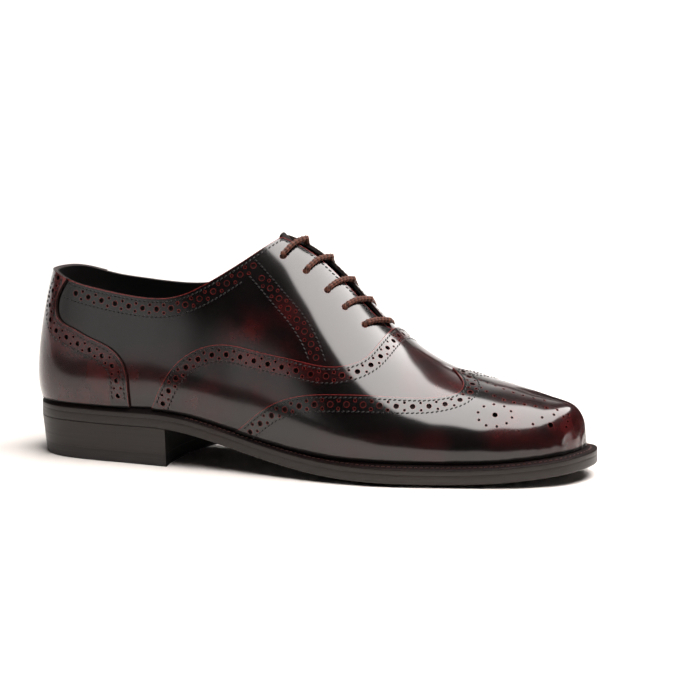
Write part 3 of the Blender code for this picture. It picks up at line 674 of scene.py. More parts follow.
def punchedPanel(name, fold, border, holes, low, high, cuts, materials, spacing=2.0, cover=None):
    # the flat triangles lifted to an outer and an inner face, joined by raw walls along border and holes
    ab, triangles, places, radii = flatPattern(fold, border, np.concatenate(holes), spacing)
    _, (triangles,), first = weld(skin(fold, ab, high), [triangles])
    used, triangles = np.unique(triangles, return_inverse=True)
    triangles = triangles.reshape(-1, 3)
    ab = ab[first][used]
    count = len(ab)
    outer, normal = skin(fold, ab, high), skinNormal(fold, ab, high)
    a, b, c = (outer[column] for column in triangles.T)
    if np.sum(np.cross(b - a, c - a) * normal[triangles[:, 0]]) < 0:
        triangles = triangles[:, ::-1]
    cutDistance = nearest(outer, np.concatenate(cuts))
    inner = skin(fold, ab, low(cutDistance) if callable(low) else low)
    gaps = np.linalg.norm(outer[:, None] - skin(fold, places, high)[None], axis=-1) - radii
    rimDistance = gaps.min(1).clip(0, panel["farRim"])
    # walls: edges that belong to one triangle only, bulged a little below the outer face
    runs = np.concatenate([triangles[:, [0, 1]], triangles[:, [1, 2]], triangles[:, [2, 0]]])
    runs = runs[~np.isin(runs[:, 0] * count + runs[:, 1], runs[:, 1] * count + runs[:, 0])]
    i, j = runs.T
    side = unit(np.cross(outer[j] - outer[i], normal[i]))
    away = np.zeros((count, 3))
    np.add.at(away, i, side)
    np.add.at(away, j, side)
    away = unit(away)
    rims = np.unique(runs)
    place = np.zeros(count, int)
    place[rims] = np.arange(len(rims)) + 2 * count
    thickness = np.linalg.norm(outer - inner, axis=-1)[rims, None]
    waist = outer[rims] - normal[rims] * np.minimum(panel["bulgeDepth"], thickness * 0.4) + away[rims] * panel["bulge"]
    walls = np.concatenate([np.stack([j, i, place[i], place[j]], -1),
                            np.stack([place[j], place[i], i + count, j + count], -1)])
    turned = unit(normal + away * panel["turn"])
    wallNormals = np.concatenate([np.stack([turned[j], turned[i], away[i], away[j]], 1),
                                  np.stack([away[j], away[i], away[i], away[j]], 1)])
    cornerNormals = np.concatenate([normal[triangles].reshape(-1, 3), -normal[triangles[:, ::-1]].reshape(-1, 3),
                                    wallNormals.reshape(-1, 3)])
    _, t, v = unfold(fold, ab)
    # height above the feather edge: it places the painted crease shade in the leather
    foot = section(t)["rise"] * np.sin(v * np.pi / 2)
    edge = np.zeros(len(rims))
    fields = {"cut": np.concatenate([cutDistance, cutDistance, edge]),
              "rim": np.concatenate([rimDistance, rimDistance, edge]),
              "foot": np.concatenate([foot, foot, foot[rims]])}
    # the covered faces, seen only through the next panel's holes, and the walls of the holes take the third material,
    # painted shade
    faceSlot = np.zeros(len(triangles))
    if cover:
        faceSlot = np.where(under(cover, fold, ab)[triangles].all(1), 2, 0)
    wallSlot = np.where(rimDistance[runs].max(1) < panel["rimWall"], 2, 1)
    print(name, len(triangles) * 2 + len(walls) * 2, "triangles,", len(places), "holes")
    return makeMesh(name, np.concatenate([outer, inner, waist]), [triangles, triangles[:, ::-1] + count, walls],
                    materials, np.concatenate([faceSlot, faceSlot, wallSlot, wallSlot]), cornerNormals, fields)


def featherLine(fold, start, stop, side):
    # the upper's lower edge between two lengths, a point for each millimetre
    t = np.linspace(start, stop, max(int(abs(stop - start)), 2) + 1)
    return folded(fold, side, np.stack([t, np.zeros(len(t))], -1))


def chain(*lines):
    # lines joined into one closed border, with repeated points taken out
    path = np.concatenate(lines)
    far = np.abs(path - np.roll(path, 1, 0)) > (1e-4, 1e-6)
    return path[far.any(1)]


def under(name, fold, ab):
    # true where the pattern lies in front of a seam, so that the next panel covers it
    side, t, v = unfold(fold, ab)
    covered = np.zeros(len(t), bool)
    for half in sides:
        line = seam[half, name]
        # closed past the ridge, the toe and the feather edge
        polygon = np.concatenate([line, [(toeTip + 5, 1.01), (toeTip + 5, -0.01), (line[0, 0], -0.01)]])
        polygon[len(line) - 1, 1] = 1.01
        covered |= (side == half) & insidePolygon(np.stack([t, v], -1), polygon)
    return covered


def liftedLine(side, tv, height):
    # a line on the leather at a height above the upper
    return skin("heel", folded("heel", side, tv), height)


def sized(side, tv, radius):
    # rows of holes: side, length, share and radius
    return np.column_stack([np.full(len(tv), side), tv, np.full(len(tv), radius)])


holeRows = {"quarter": [], "vamp": [], "cap": [], "counter": []}
sewnRows = []       # side, line, height of each row of stitches

quarter = {
    "wall": 1.0, "front": 200.0, "edgeStitch": 2.0, "holes": 5.5, "lowStitch": 9.5, "collarFrom": 19.5,
    "holesTo": 123.0, "stitchFrom": 20.5, "edgeStitchTo": 191.0, "lowStitchTo": 117.5, "facingRow": 7.6,
    "collarSkip": (8.8, 0.0), "facingSkip": (13.5, 5.0),    # length of a strip left without holes at its ends
    "seamClear": 1.0, "medialSink": 0.22,                   # the inner edge row lies deeper, out of the near view
    "facingStart": 3, "facingRowStart": 9,                  # points of the two facing rows left out at the collar
    "facing": np.array(((124.5, 0.674), (127.5, 0.656), (137, 0.597), (146.5, 0.546), (156, 0.508), (162, 0.477),
                        (166.2, 0.445), (171, 0.387), (174, 0.345))),
    "laceHoles": np.array(((184.5, 0.757), (174.4, 0.730), (165.0, 0.720), (153.4, 0.725), (140.6, 0.738))),
    "laceSlant": 3.5,       # medial holes lie this much nearer the toe
    "laceHole": 1.75,
}


def facingLine(side):
    # spline through the table of stations and shares
    rows = quarter["facing"]
    station = np.linspace(rows[0, 0], rows[-1, 0], 200)
    share = naturalSpline(rows[:, 0], rows[:, 1:], station)[:, 0]
    return evenly(side, np.column_stack([tOf(station), share]), lineStep)


def untilVamp(side, tv):
    # the part of a line that stays clear of the vamp
    near = nearest(lastPoint(side, *tv.T), lastPoint(side, *seam[side, "vamp"].T))
    return tv[~under("vamp", "heel", folded("heel", side, tv)) & (near > quarter["seamClear"])]


for side in sides:
    collar = openingLine(side, quarter["collarFrom"], quarter["holesTo"])
    edge = openingLine(side, quarter["stitchFrom"], quarter["edgeStitchTo"])
    low = openingLine(side, quarter["stitchFrom"], quarter["lowStitchTo"])
    facing = untilVamp(side, facingLine(side))
    facingRow = untilVamp(side, beside(side, facing, -quarter["facingRow"]))
    sewnRows += [(side, beside(side, edge, -quarter["edgeStitch"]), -quarter["medialSink"] * (side == medial)),
                 (side, beside(side, low, -quarter["lowStitch"]), 0.0),
                 (side, facing[quarter["facingStart"]:], 0.0), (side, facingRow[quarter["facingRowStart"]:], 0.0)]
    station, share = quarter["laceHoles"].T
    station = station + quarter["laceSlant"] * (side == medial)
    holeRows["quarter"] += [*stripHoles(side, collar, -quarter["holes"], quarter["collarSkip"]),
                            *stripHoles(side, facing, -quarter["facingRow"] / 2, quarter["facingSkip"]),
                            sized(side, np.column_stack([tOf(station), share]), quarter["laceHole"])]

overlay = {
    "vamp": 1.4, "cap": 2.2, "counter": 1.4, "under": 0.03,     # heights of the outer faces and the inner one
    "capLow": 1.42, "capDrop": 1.3, "capDropAt": (12, 20),      # the cap's inner face lies on the vamp's edge
    "clearOfSole": 0.02, "counterTop": 20.5,
    "vampRows": (-1.6, -8.3), "counterRows": (2.1, 9.3),        # stitches beside the seam
    "vampHoles": -4.8, "counterHoles": 5.7, "vampSkip": (4.0, 3.2), "counterSkip": (4.0, 4.0),
}
for side in sides:
    for name, kind in (("vamp", "vamp"), ("cap", "vamp"), ("counter", "counter")):
        line = seam[side, name]
        line = line[line[:, 1] > overlay["clearOfSole"]]
        holeRows[name] += stripHoles(side, line, overlay[kind + "Holes"], overlay[kind + "Skip"])
        sewnRows += [(side, beside(side, line, offset)[2:-2], overlay[name]) for offset in overlay[kind + "Rows"]]

medallion = {
    "rings": ((254.5, 0.492, 8.2, 10, 0.80), (280.0, 0.44, 8.0, 6, 0.75)),  # station, share, size, holes kept, flatness
    "count": 10,            # holes of a whole ring
    "rows": np.array(((243, 0.80), (246.5, 0.765), (251, 0.725), (256, 0.70), (261, 0.695), (266, 0.70), (271, 0.71),
                      (276, 0.715), (281, 0.71), (286, 0.68), (240, 0.93), (244, 0.915), (248.5, 0.90), (253, 0.88),
                      (258, 0.865), (263, 0.86), (268, 0.865), (273, 0.88))),    # beside the ridge, then nearer to it
}


def medallionHoles(side):
    # flattened rings of small holes round a big one, and the two rows beside the ridge
    found = []
    for station, share, size, kept, flat in medallion["rings"]:
        centre = np.array([[tOf(station), share]])
        ring = ringsAround("ridge", centre, size, medallion["count"])[0]
        ring = (centre + (ring - centre) * (1.0, flat))[:kept]
        found += [sized(side, centre, brogue["big"]), sized(side, ring, brogue["small"])]
    station, share = medallion["rows"].T
    return [*found, sized(side, np.column_stack([tOf(station), share]), brogue["small"])]


holeRows["cap"] += [rows for side in sides for rows in medallionHoles(side)]
# painted shade: hole walls, and the leather under the next panel seen through its holes, are near black as if in shadow
punched = cutEdge("hole wall and floor in painted shade", (0.012, 0.005, 0.005))
boundEdge = cutEdge("dark topline edge", (0.022, 0.012, 0.011), 0.38)
# dark wall along the cut edges of vamp and cap
darkOverlayWall = cutEdge("dark overlay edge", (0.05, 0.007, 0.007))
backSeam = 1.0      # station where the two halves of an opening line meet


def heelBorder(stop, lines):
    # opened at the heel: feather edge from the lateral end to the medial one, then back over the top
    return chain(featherLine("heel", stop, 0, lateral), featherLine("heel", 0, stop, medial),
                 folded("heel", medial, lines[medial])[::-1], folded("heel", lateral, lines[lateral]))


opened = {side: openingLine(side, backSeam, quarter["front"]) for side in sides}
openEdges = [liftedLine(side, openingLine(side, backSeam, throatEnd), 0.0) for side in sides]
quarterLeather = shoeLeather("quarter leather", (0.0, 0.0, 0.0), redness=0.34, rawBand=0.8, stripRed=0.06, burnish=38.0)
quarters = punchedPanel("quarters", "heel", heelBorder(tOf(quarter["front"]), opened), holeRows["quarter"],
                        -quarter["wall"], 0.0, openEdges, [quarterLeather, boundEdge, punched], cover="vamp")
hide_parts("upper")


def overRidge(name):
    # a seam from the lateral feather edge over the ridge to the medial one
    return np.concatenate([folded("ridge", lateral, seam[lateral, name]),
                           folded("ridge", medial, seam[medial, name])[::-1]])


def ridgeBorder(name, lowName=None):
    # over the seam, forward along the feather edge, back over the lower seam or the toe's tip, and home
    starts = {half: seam[half, name][0, 0] for half in sides}
    ends = {half: seam[half, lowName][0, 0] if lowName else toeTip for half in sides}
    tip = np.stack([np.full(9, toeTip), np.linspace(1, -1, 9)], -1)
    return chain(overRidge(name), featherLine("ridge", starts[medial], ends[medial], medial),
                 overRidge(lowName)[::-1] if lowName else tip,
                 featherLine("ridge", ends[lateral], starts[lateral], lateral))


def lowUnderCap(distance):
    # inner face of the cap: over the vamp near the seam, down to the upper past it
    return overlay["capLow"] - overlay["capDrop"] * smoothStep(*overlay["capDropAt"], distance)


def seamEdges(name):
    # the cut edge of an overlay, both sides
    return [liftedLine(side, seam[side, name], overlay[name]) for side in sides]


vampLeather = shoeLeather("vamp leather", (0.3, 0.1, 0.2), redness=0.48)
vamp = punchedPanel("vamp_panel", "ridge", ridgeBorder("vamp", "vampTuck"), holeRows["vamp"], overlay["under"],
                    overlay["vamp"], seamEdges("vamp"), [vampLeather, darkOverlayWall, punched], cover="cap")
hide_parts("vamp")
capLeather = shoeLeather("cap leather", (0.7, 0.4, 0.1), redness=0.45, stripRed=0.04)
wingCap = punchedPanel("wing_cap_panel", "ridge", ridgeBorder("cap"), holeRows["cap"], lowUnderCap,
                       overlay["cap"], seamEdges("cap"), [capLeather, darkOverlayWall, punched], spacing=1.3)
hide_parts("wing_cap")
heelTop = {side: openingLine(side, backSeam, overlay["counterTop"]) for side in sides}
counterTop = {side: np.concatenate([heelTop[side], seam[side, "counter"][::-1]]) for side in sides}
counterEdges = [liftedLine(side, line, overlay["counter"]) for side in sides
                for line in (seam[side, "counter"], heelTop[side])]
counterLeather = shoeLeather("counter leather", (0.2, 0.9, 0.5), redness=1.05, burnish=12.0)
heelCounter = punchedPanel("counter_panel", "heel", heelBorder(tOf(seams["counter"][0, 0]), counterTop),
                           holeRows["counter"], overlay["under"], overlay["counter"], counterEdges,
                           [counterLeather, boundEdge, punched])
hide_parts("heel_counter")

lining = {"outer": -1.02, "inner": -1.8, "toe": 291.9, "dark": (0.0045, 0.0042, 0.0042), "light": (0.010, 0.009, 0.009)}
black = mottled("black lining", lining["dark"], lining["light"], (60.0, 4.0), ((1800.0, 2.0), 0.12, 0.0002),
                ((90.0, 3.0), 0.25, 0.0006), Roughness=0.65, Specular_IOR_Level=0.08)
tipLine = {side: openingLine(side, backSeam, lining["toe"]) for side in sides}
laceOnly = [rows for rows in holeRows["quarter"] if rows[0, 3] == quarter["laceHole"]]
liner = punchedPanel("lining", "heel", heelBorder(tipLine[lateral][-1, 0], tipLine), laceOnly, lining["inner"],
                     lining["outer"], openEdges, [black, black, black], spacing=3.0)

stitch = {
    "pitch": 2.45, "length": 2.0, "thick": 0.36, "slant": 0.26,
    "places": (-0.5, -0.3, 0.0, 0.3, 0.5), "heights": (-0.3, 0.06, 0.10, 0.06, -0.3),
    "widths": (0.5, 0.9, 1.0, 0.9, 0.5), "flat": 0.8,
    "look": 0.3,            # step ahead and behind that gives the run
}


def sewRows(name, spots, runs, normals, material):
    # one small curved bead for each stitch: five rings of five points along its length
    along = np.array(stitch["places"]) * stitch["length"]
    height = np.array(stitch["heights"])[:, None]
    radius = (np.array(stitch["widths"]) * stitch["thick"])[:, None]
    angle = np.arange(5) * 2 * np.pi / 5
    slant = (along / stitch["length"] * 2 * stitch["slant"])[:, None]
    local = np.stack([np.repeat(along[:, None], 5, 1), slant + radius * np.cos(angle),
                      height + radius * stitch["flat"] * np.sin(angle)], -1).reshape(-1, 3)
    basis = np.stack([runs, np.cross(normals, runs), normals], 1)
    points = (spots[:, None] + np.einsum("pk,nkc->npc", local, basis)).reshape(-1, 3)
    shift = (np.arange(len(spots)) * 25)[:, None, None]
    quads = (gridFaces(5, 5, wrapColumns=True)[None] + shift).reshape(-1, 4)
    caps = np.stack([np.arange(5), 20 + np.arange(4, -1, -1)])[None] + shift
    print(name, len(spots), "stitches")
    return makeMesh(name, points, [quads[:, ::-1], caps.reshape(-1, 5)], [material])


def rowPlaces(side, tv, height):
    # evenly along the row: place, run and normal of each stitch
    walk = walkAlong(side, tv)
    at = np.arange(stitch["pitch"] * 0.6, walk[-1] - stitch["pitch"] * 0.5, stitch["pitch"])
    here, ahead, behind = (liftedLine(side, pick(tv, walk, at + step), height)
                           for step in (0, stitch["look"], -stitch["look"]))
    return here, unit(ahead - behind), skinNormal("heel", folded("heel", side, pick(tv, walk, at)), height)


def waxedThread(name, colour):
    # thread with darker twists
    twist = (2200.0, 2.0)
    return mottled(name, tuple(c * 0.45 for c in colour), colour, twist, (twist, 0.4, 0.0002),
                   Roughness=0.42, Specular_IOR_Level=0.25)


sewn = [np.concatenate(group) for group in zip(*[rowPlaces(*row) for row in sewnRows])]
stitches = sewRows("upper_stitching", *sewn, waxedThread("black thread", (0.010, 0.009, 0.009)))

tongue = {
    "rows": np.array(((134.9, -0.1, 0.905), (135.6, 0.6, 0.91), (136.5, 1.7, 0.92), (137.8, 2.9, 0.88),
                      (140, 4.4, 0.82), (144.5, 5.8, 0.76), (150, 6.2, 0.66), (170, 6.0, 0.63), (187, 5.8, 0.66),
                      (196, 2.9, 0.70), (203, 2.3, 0.74))),     # station, depth, share at the edge
    "thick": 1.8, "round": 0.35, "crown": 2.4, "crownFrom": (134.5, 138), "crownTo": (178, 194),
    "along": 70, "across": 41,
}


def closedSheets(outer, inner):
    # two sheets of the same grid joined round their border
    rows, columns = outer.shape[:2]
    count = rows * columns
    index = np.arange(count).reshape(rows, columns)
    ring = np.concatenate([index[0, :-1], index[:-1, -1], index[-1, :0:-1], index[:0:-1, 0]])
    after = np.roll(ring, -1)
    faces = [gridFaces(rows, columns), gridFaces(rows, columns, count)[:, ::-1],
             np.stack([ring, after, after + count, ring + count], -1)[:, ::-1]]
    points, faces, _ = weld(np.concatenate([outer.reshape(-1, 3), inner.reshape(-1, 3)]), faces)
    return points, outward(points, faces)


def makeTongue():
    # sheet under the facings: depth below the upper and width from a short table, crowned in the middle
    rows = tongue["rows"]
    station = np.linspace(rows[0, 0], rows[-1, 0], tongue["along"])
    depth, edge = naturalSpline(rows[:, 0], rows[:, 1:], station).T
    share = np.linspace(-1, 1, tongue["across"])
    side = np.repeat(np.where(share < 0, lateral, medial)[None], tongue["along"], 0)
    v = 1 - (1 - edge)[:, None] * np.abs(share)[None]
    t = np.repeat(tOf(station)[:, None], tongue["across"], 1)
    base, out = lastPoint(side, t, v), lastNormal(side, t, v)
    rounded = tongue["thick"] * tongue["round"] * smoothStep(0.9, 1, np.abs(share))[None]
    crown = tongue["crown"] * smoothStep(*tongue["crownFrom"], station) * (1 - smoothStep(*tongue["crownTo"], station))
    lift = crown[:, None] * (1 - share**2)**2 - depth[:, None] - buildUp(t)
    sheets = [base + out * (lift - inset)[..., None] for inset in (rounded, tongue["thick"] - rounded)]
    material = mottled("tongue leather", (0.003, 0.002, 0.002), (0.010, 0.004, 0.004), (90.0, 4.0),
                       ((1500.0, 3.0), 0.15, 0.0003), Roughness=0.6, Specular_IOR_Level=0.12)
    return makeMesh("tongue_leaf", *closedSheets(*sheets), [material])


tonguePiece = makeTongue()
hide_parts("tongue")

sole = {
    "outsole": 4.5, "gap": 0.3, "welt": 2.7, "weltRise": 1.5,
    "crown": 3.2, "crownFrom": (120, 175), "crownTo": (245, 285),
    "insoleTop": 1.2, "insoleInset": 2.3, "insoleDish": 1.2, "heelRound": 30.0, "toeRound": 262.0, "touch": 0.9,
    "rims": ((0.45, 0.0), (0.12, 0.08), (0.0, 0.22), (0.0, 0.72), (0.0, 0.97), (0.05, 1.0)),   # inset and level
    "insoleRims": ((0.0, 0.0), (0.0, 0.8), (0.4, 1.0)),
}


def outline(side, t, push):
    # feather edge moved outwards in plan
    s, ahead, behind = section(t), section(t + 0.05), section(t - 0.05)
    name = "lateral" if side < 0 else "medial"
    runX = ahead["x"] - behind["x"]
    runY = ahead["axis"] - behind["axis"] + side * (ahead[name] - behind[name])
    length = np.hypot(runX, runY)
    return np.stack([s["x"] - side * runY / length * push,
                     s["axis"] + side * s[name] + side * runX / length * push], -1)


def soleStations(stop):
    # lengths along the feather edge, closer together round heel and toe
    heel, toe = tOf(sole["heelRound"]), tOf(sole["toeRound"])
    back = np.linspace(0, heel, 26, endpoint=False)
    if stop < toe:
        return np.concatenate([back, np.linspace(heel, stop, 24)])
    return np.concatenate([back, np.linspace(heel, toe, 110, endpoint=False), np.linspace(toe, stop, 46)])


def plateLoft(t, push, rims, lines, bottom, top, shape=None):
    # closed loop round each cross section: under face, one rounded edge, upper face, the other edge
    share = np.linspace(0, 1, lines)
    across = np.repeat((share * 2 - 1)[None], len(t), 0)
    share = share[None, :, None]

    def edge(side, inset):
        return outline(side, t, push(t) - inset)[:, None]

    def face(inset):
        return edge(lateral, inset) * (1 - share) + edge(medial, inset) * share

    def edgeRows(side, order):
        return [(edge(side, inset), np.full((len(t), 1), side), level) for inset, level in order]

    grids = []
    for plan, where, level in [(face(rims[0][0]), across, 0.0), *edgeRows(medial, rims[1:-1]),
                               (face(rims[-1][0])[:, ::-1], across[:, ::-1], 1.0), *edgeRows(lateral, rims[-2:0:-1])]:
        if shape:
            plan = shape(plan, where, level)
        low, high = bottom(plan, where), top(plan, where)
        grids.append(np.concatenate([plan, (low * (1 - level) + high * level)[..., None]], -1))
    return np.concatenate(grids, 1)


def loftPiece(name, rings, materials, lines=None):
    # loops joined along the shoe; the breast end is closed by strips between under and upper face
    rows, columns = rings.shape[:2]
    end = (rows - 1) * columns
    faces = [gridFaces(rows, columns, wrapColumns=True)]
    if lines:
        low = end + np.arange(lines)
        gap = (columns - 2 * lines) // 2
        high = end + lines + gap + np.arange(lines)[::-1]
        faces.append(np.stack([low[:-1], low[1:], high[1:], high[:-1]], -1))
        for pivot, start, stop in ((low[-1], end + lines, high[-1]), (high[0], end + 2 * lines + gap, low[0])):
            fan = np.concatenate([start + np.arange(gap), [stop]])
            faces.append(np.stack([np.full(gap, pivot), fan[:-1], fan[1:]], -1))
    points, faces, first = weld(rings.reshape(-1, 3), faces)
    faces = outward(points, faces)
    print(name, sum(len(group) * (group.shape[1] - 2) for group in faces), "triangles")
    slots = np.concatenate([(first >= end)[group].all(1) for group in faces]) if lines else None
    return makeMesh(name, points, faces, materials, slots)


def weltWidth(t):
    # how far the sole's edge stands out from the feather edge
    return section(t)["welt"]


edgeFinish = {"brown": (0.015, 0.0108, 0.0084), "dark": (0.0125, 0.009, 0.0071), "red": (0.022, 0.008, 0.0065)}


def stainedEdge(name, light, dark, rough=0.42, gloss=0.36):
    # sole leather stained dark and burnished: fine level lines, a little red where the stain is thin
    material, tree, shader = newMaterial(name, Roughness=rough, Specular_IOR_Level=gloss)
    lines = noise(tree, 9.0, 5.0, 0.7, (2.0, 2.0, 160.0))
    cloud = noise(tree, 40.0, 4.0, 0.6)
    colour = mixColour(tree, ramp(tree, lines, 0.3, 0.7), dark, light)
    colour = mixColour(tree, ramp(tree, cloud, 0.52, 0.85, 0.0, 0.35), colour, edgeFinish["red"])
    link(tree, colour, shader.inputs["Base Color"])
    link(tree, ramp(tree, lines, 0.25, 0.75, rough + 0.08, rough - 0.06), shader.inputs["Roughness"])
    bump(tree, shader, (lines, 0.12, 0.0004), (noise(tree, 900.0, 3.0), 0.08, 0.0003))
    return material


def above(height):
    # face that follows the tread at a height
    return lambda plan, across: treadHeight(plan[..., 0]) + height


def outsoleTread(plan, across):
    # tread bowed down in the middle of the forefoot, flat where it meets the floor
    x = plan[..., 0]
    crown = sole["crown"] * smoothStep(*sole["crownFrom"], x) * (1 - smoothStep(*sole["crownTo"], x))
    return np.maximum(treadHeight(x) - crown * (1 - across**2), 0)


t = soleStations(toeTip)
outsole = loftPiece("sole_plate", plateLoft(t, weltWidth, sole["rims"], 25, outsoleTread,
                                            above(sole["outsole"] + sole["gap"] * sole["touch"])),
                    [stainedEdge("sole leather", edgeFinish["brown"], edgeFinish["dark"])])
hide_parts("outsole")


def insolePush(t):
    # inside the upper's wall, so the feather edge moves inwards
    return -(buildUp(t) + sole["insoleInset"])


def insoleHigh(plan, across):
    # upper face turned up along its sides
    return treadHeight(plan[..., 0]) + last["seat"] + sole["insoleTop"] + sole["insoleDish"] * across**4


insole = loftPiece("insole_sock", plateLoft(t, insolePush, sole["insoleRims"], 21,
                                            above(sole["outsole"] + sole["gap"]), insoleHigh), [black])
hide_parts("insole")


weltShape = {
    "edge": ((-0.05, 0.0), (0.0, 0.05), (0.0, 0.78), (-0.12, 0.93), (-0.45, 1.0)),  # inset and level
    "top": ((0.65, 0.12), (0.4, 0.35), (0.2, 0.75), (0.0, 1.0)),    # share of the width, share of the rise
    "wall": 1.8,
}


def makeWelt():
    # profile carried round the outline: rounded outer edge, top rising to the upper, under face back
    wall = (buildUp(t) + weltShape["wall"])[:, None]
    width = weltWidth(t)[:, None]
    push = [width + inset for inset, _ in weltShape["edge"]] + [width * share for share, _ in weltShape["top"]]
    level = [share * sole["welt"] for _, share in weltShape["edge"]]
    level += [sole["welt"] + sole["weltRise"] * rise for _, rise in weltShape["top"]]
    level += [sole["welt"] + sole["weltRise"], 0.0]
    halves = []
    for side in sides:
        plan = outline(side, t[:, None], np.concatenate([*push, -wall, -wall], 1))
        z = treadHeight(plan[..., 0]) + sole["outsole"] + sole["gap"] + np.array(level)
        halves.append(np.concatenate([plan, z[..., None]], -1))
    ring = np.concatenate([halves[0], halves[1][-2:0:-1]])
    rows, columns = ring.shape[:2]
    points, faces, _ = weld(ring.reshape(-1, 3), [gridFaces(rows, columns, wrapRows=True, wrapColumns=True)])
    column = np.tile(np.arange(columns), rows)
    edge = stainedEdge("welt edge leather", edgeFinish["brown"], edgeFinish["dark"])
    # painted shade: the welt's top and its rounded outer corner are near black and dull, as the shaded groove under the
    # upper
    top = stainedEdge("welt top in painted shade", (0.006, 0.0017, 0.0017), (0.002, 0.0013, 0.0013), 0.6, 0.12)
    return makeMesh("welt_strip", points, faces, [edge, top], (column >= 2) & (column < columns - 2))


welt = makeWelt()
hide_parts("welt")


heel = {
    "breast": 84.0, "hollow": 4.0, "hollowFrom": 0.25, "topPiece": 6.0, "taperLong": 0.027, "taperWide": 0.045,
    "height": last["sections"][0, 5], "clear": 0.03, "lines": 17,
    "blockRims": ((0.05, 0.0), (0.0, 0.02), (0.0, 0.5), (0.0, 0.98), (0.05, 1.0)),
    "topPieceRims": ((0.3, 0.0), (0.0, 0.08), (0.0, 0.5), (0.0, 0.97), (0.05, 1.0)),
}
# painted shade: the front face of heel and top piece is near black, as in deep shade under the arch
breast = cutEdge("heel breast in painted shade", (0.005, 0.004, 0.0035), 0.8)


def heelShape(plan, across, z):
    # breast hollowed in plan, then narrowed towards the floor
    front = smoothStep(heel["hollowFrom"], 1.0, plan[..., 0] / heel["breast"])
    x = plan[..., 0] - front * heel["hollow"] * (1 - across**2)
    share = 1 - z / heel["height"]
    x = heel["breast"] - (heel["breast"] - x) * (1 - heel["taperLong"] * share)
    return np.stack([x, plan[..., 1] * (1 - heel["taperWide"] * share)], -1)


def makeHeelPart(name, low, high, top, rims, material):
    # plate from a level up to a face; its height in the taper runs from low to high
    rings = plateLoft(soleStations(tOf(heel["breast"])), weltWidth, rims, heel["lines"],
                      lambda plan, across: np.full(across.shape, low), top,
                      lambda plan, across, level: heelShape(plan, across, low * (1 - level) + high * level))
    return loftPiece(name, rings, [material, breast], heel["lines"])


heelBlock = makeHeelPart("heel_stack", heel["topPiece"] + sole["gap"], heel["height"], above(-heel["clear"]),
                         heel["blockRims"],
                         stainedEdge("stacked heel leather", (0.016, 0.0115, 0.0093), (0.0133, 0.0097, 0.008)))
lift = heel["topPiece"] + sole["gap"] * sole["touch"]
topPiece = makeHeelPart("heel_tread", 0.0, lift, lambda plan, across: np.full(across.shape, lift), heel["topPieceRims"],
                        stainedEdge("top piece rubber", (0.015, 0.012, 0.011), (0.010, 0.008, 0.008), 0.5))
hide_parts("heel_block")
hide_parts("heel_top_piece")

weltSeam = {"from": 96.0, "inset": 0.45, "rise": 0.32, "pitch": 2.6}
places = []
for side in sides:
    along = np.arange(tOf(weltSeam["from"]), toeTip - 0.5, weltSeam["pitch"])
    triple = [outline(side, along + step, weltWidth(along) * weltSeam["inset"])
              for step in (0, stitch["look"], -stitch["look"])]
    lifted = [np.column_stack([plan, treadHeight(plan[:, 0]) + sole["outsole"] + sole["gap"] + sole["welt"]
                               + sole["weltRise"] * weltSeam["rise"]]) for plan in triple]
    up = np.repeat(np.array([[0.0, 0.0, 1.0]]), len(along), 0)
    places.append((lifted[0], unit(lifted[1] - lifted[2]), up))
weltStitches = sewRows("welt_stitching", *[np.concatenate(group) for group in zip(*places)],
                       waxedThread("welt thread", (0.06, 0.02, 0.018)))

lace = {
    "diameter": 2.9, "clear": -0.1, "under": 0.8, "sag": -1.0, "bow": 4.4, "press": 1.5, "lip": 0.010, "lie": 0.025,
    "step": 0.3, "smooth": 9, "around": 24, "weave": 0.32, "strands": 3, "lay": 5.2,
    "guide": (0.9, 0.1, 0.42),      # never along the cord, so the braid doesn't flip
    # dark and light: painted shade in the hollows of the braid, painted highlight on its crowns
    "dark": (0.009, 0.0032, 0.0022), "light": (0.125, 0.046, 0.030),
}


def laceRoute():
    # up through a hole, over the throat, down the far hole and along under the facing to the next;
    # each bar leans towards the toe as it climbs, square to the edge of the throat
    over = lace["diameter"] / 2 + lace["clear"]
    low = quarter["wall"] + lace["under"] + over
    holes = quarter["laceHoles"]
    route = []
    slant = {lateral: 0.0, medial: quarter["laceSlant"]}
    for number, (station, v) in enumerate(holes):
        near, far = sides if number % 2 == 0 else sides[::-1]
        start, stop = (tOf(station + slant[side]) for side in (near, far))
        rise = ((v, -low * 0.75), (v, 0.1), (v + lace["lip"], over))
        lie = v + lace["lie"]
        bars = []
        for side, end in ((near, start), (far, stop)):
            press = lace["press"] * (side == medial)
            lean = (start + stop) / 2 - end + lace["bow"]
            up = [(side, end, share, min(height, over - press)) for share, height in rise]
            for step in np.linspace(0, 1, 5):
                share = lie + (1 - lie) * step
                up.append((side, end + lean * (share - v) / (1 - v), share,
                           over - press * (1 - step**3) - lace["sag"] * step**4))
            bars.append(up)
        route += bars[0] + bars[1][-2::-1]
        if number + 1 < len(holes):
            nextT, nextV = tOf(holes[number + 1, 0] + slant[far]), holes[number + 1, 1]
            route += [(far, stop + (nextT - stop) * share, v + (nextV - v) * share, -low) for share in (0.2, 0.5, 0.8)]
    side, t, v, height = np.array(route).T
    return lastPoint(side, t, v) + lastNormal(side, t, v) * (height - buildUp(t))[:, None]


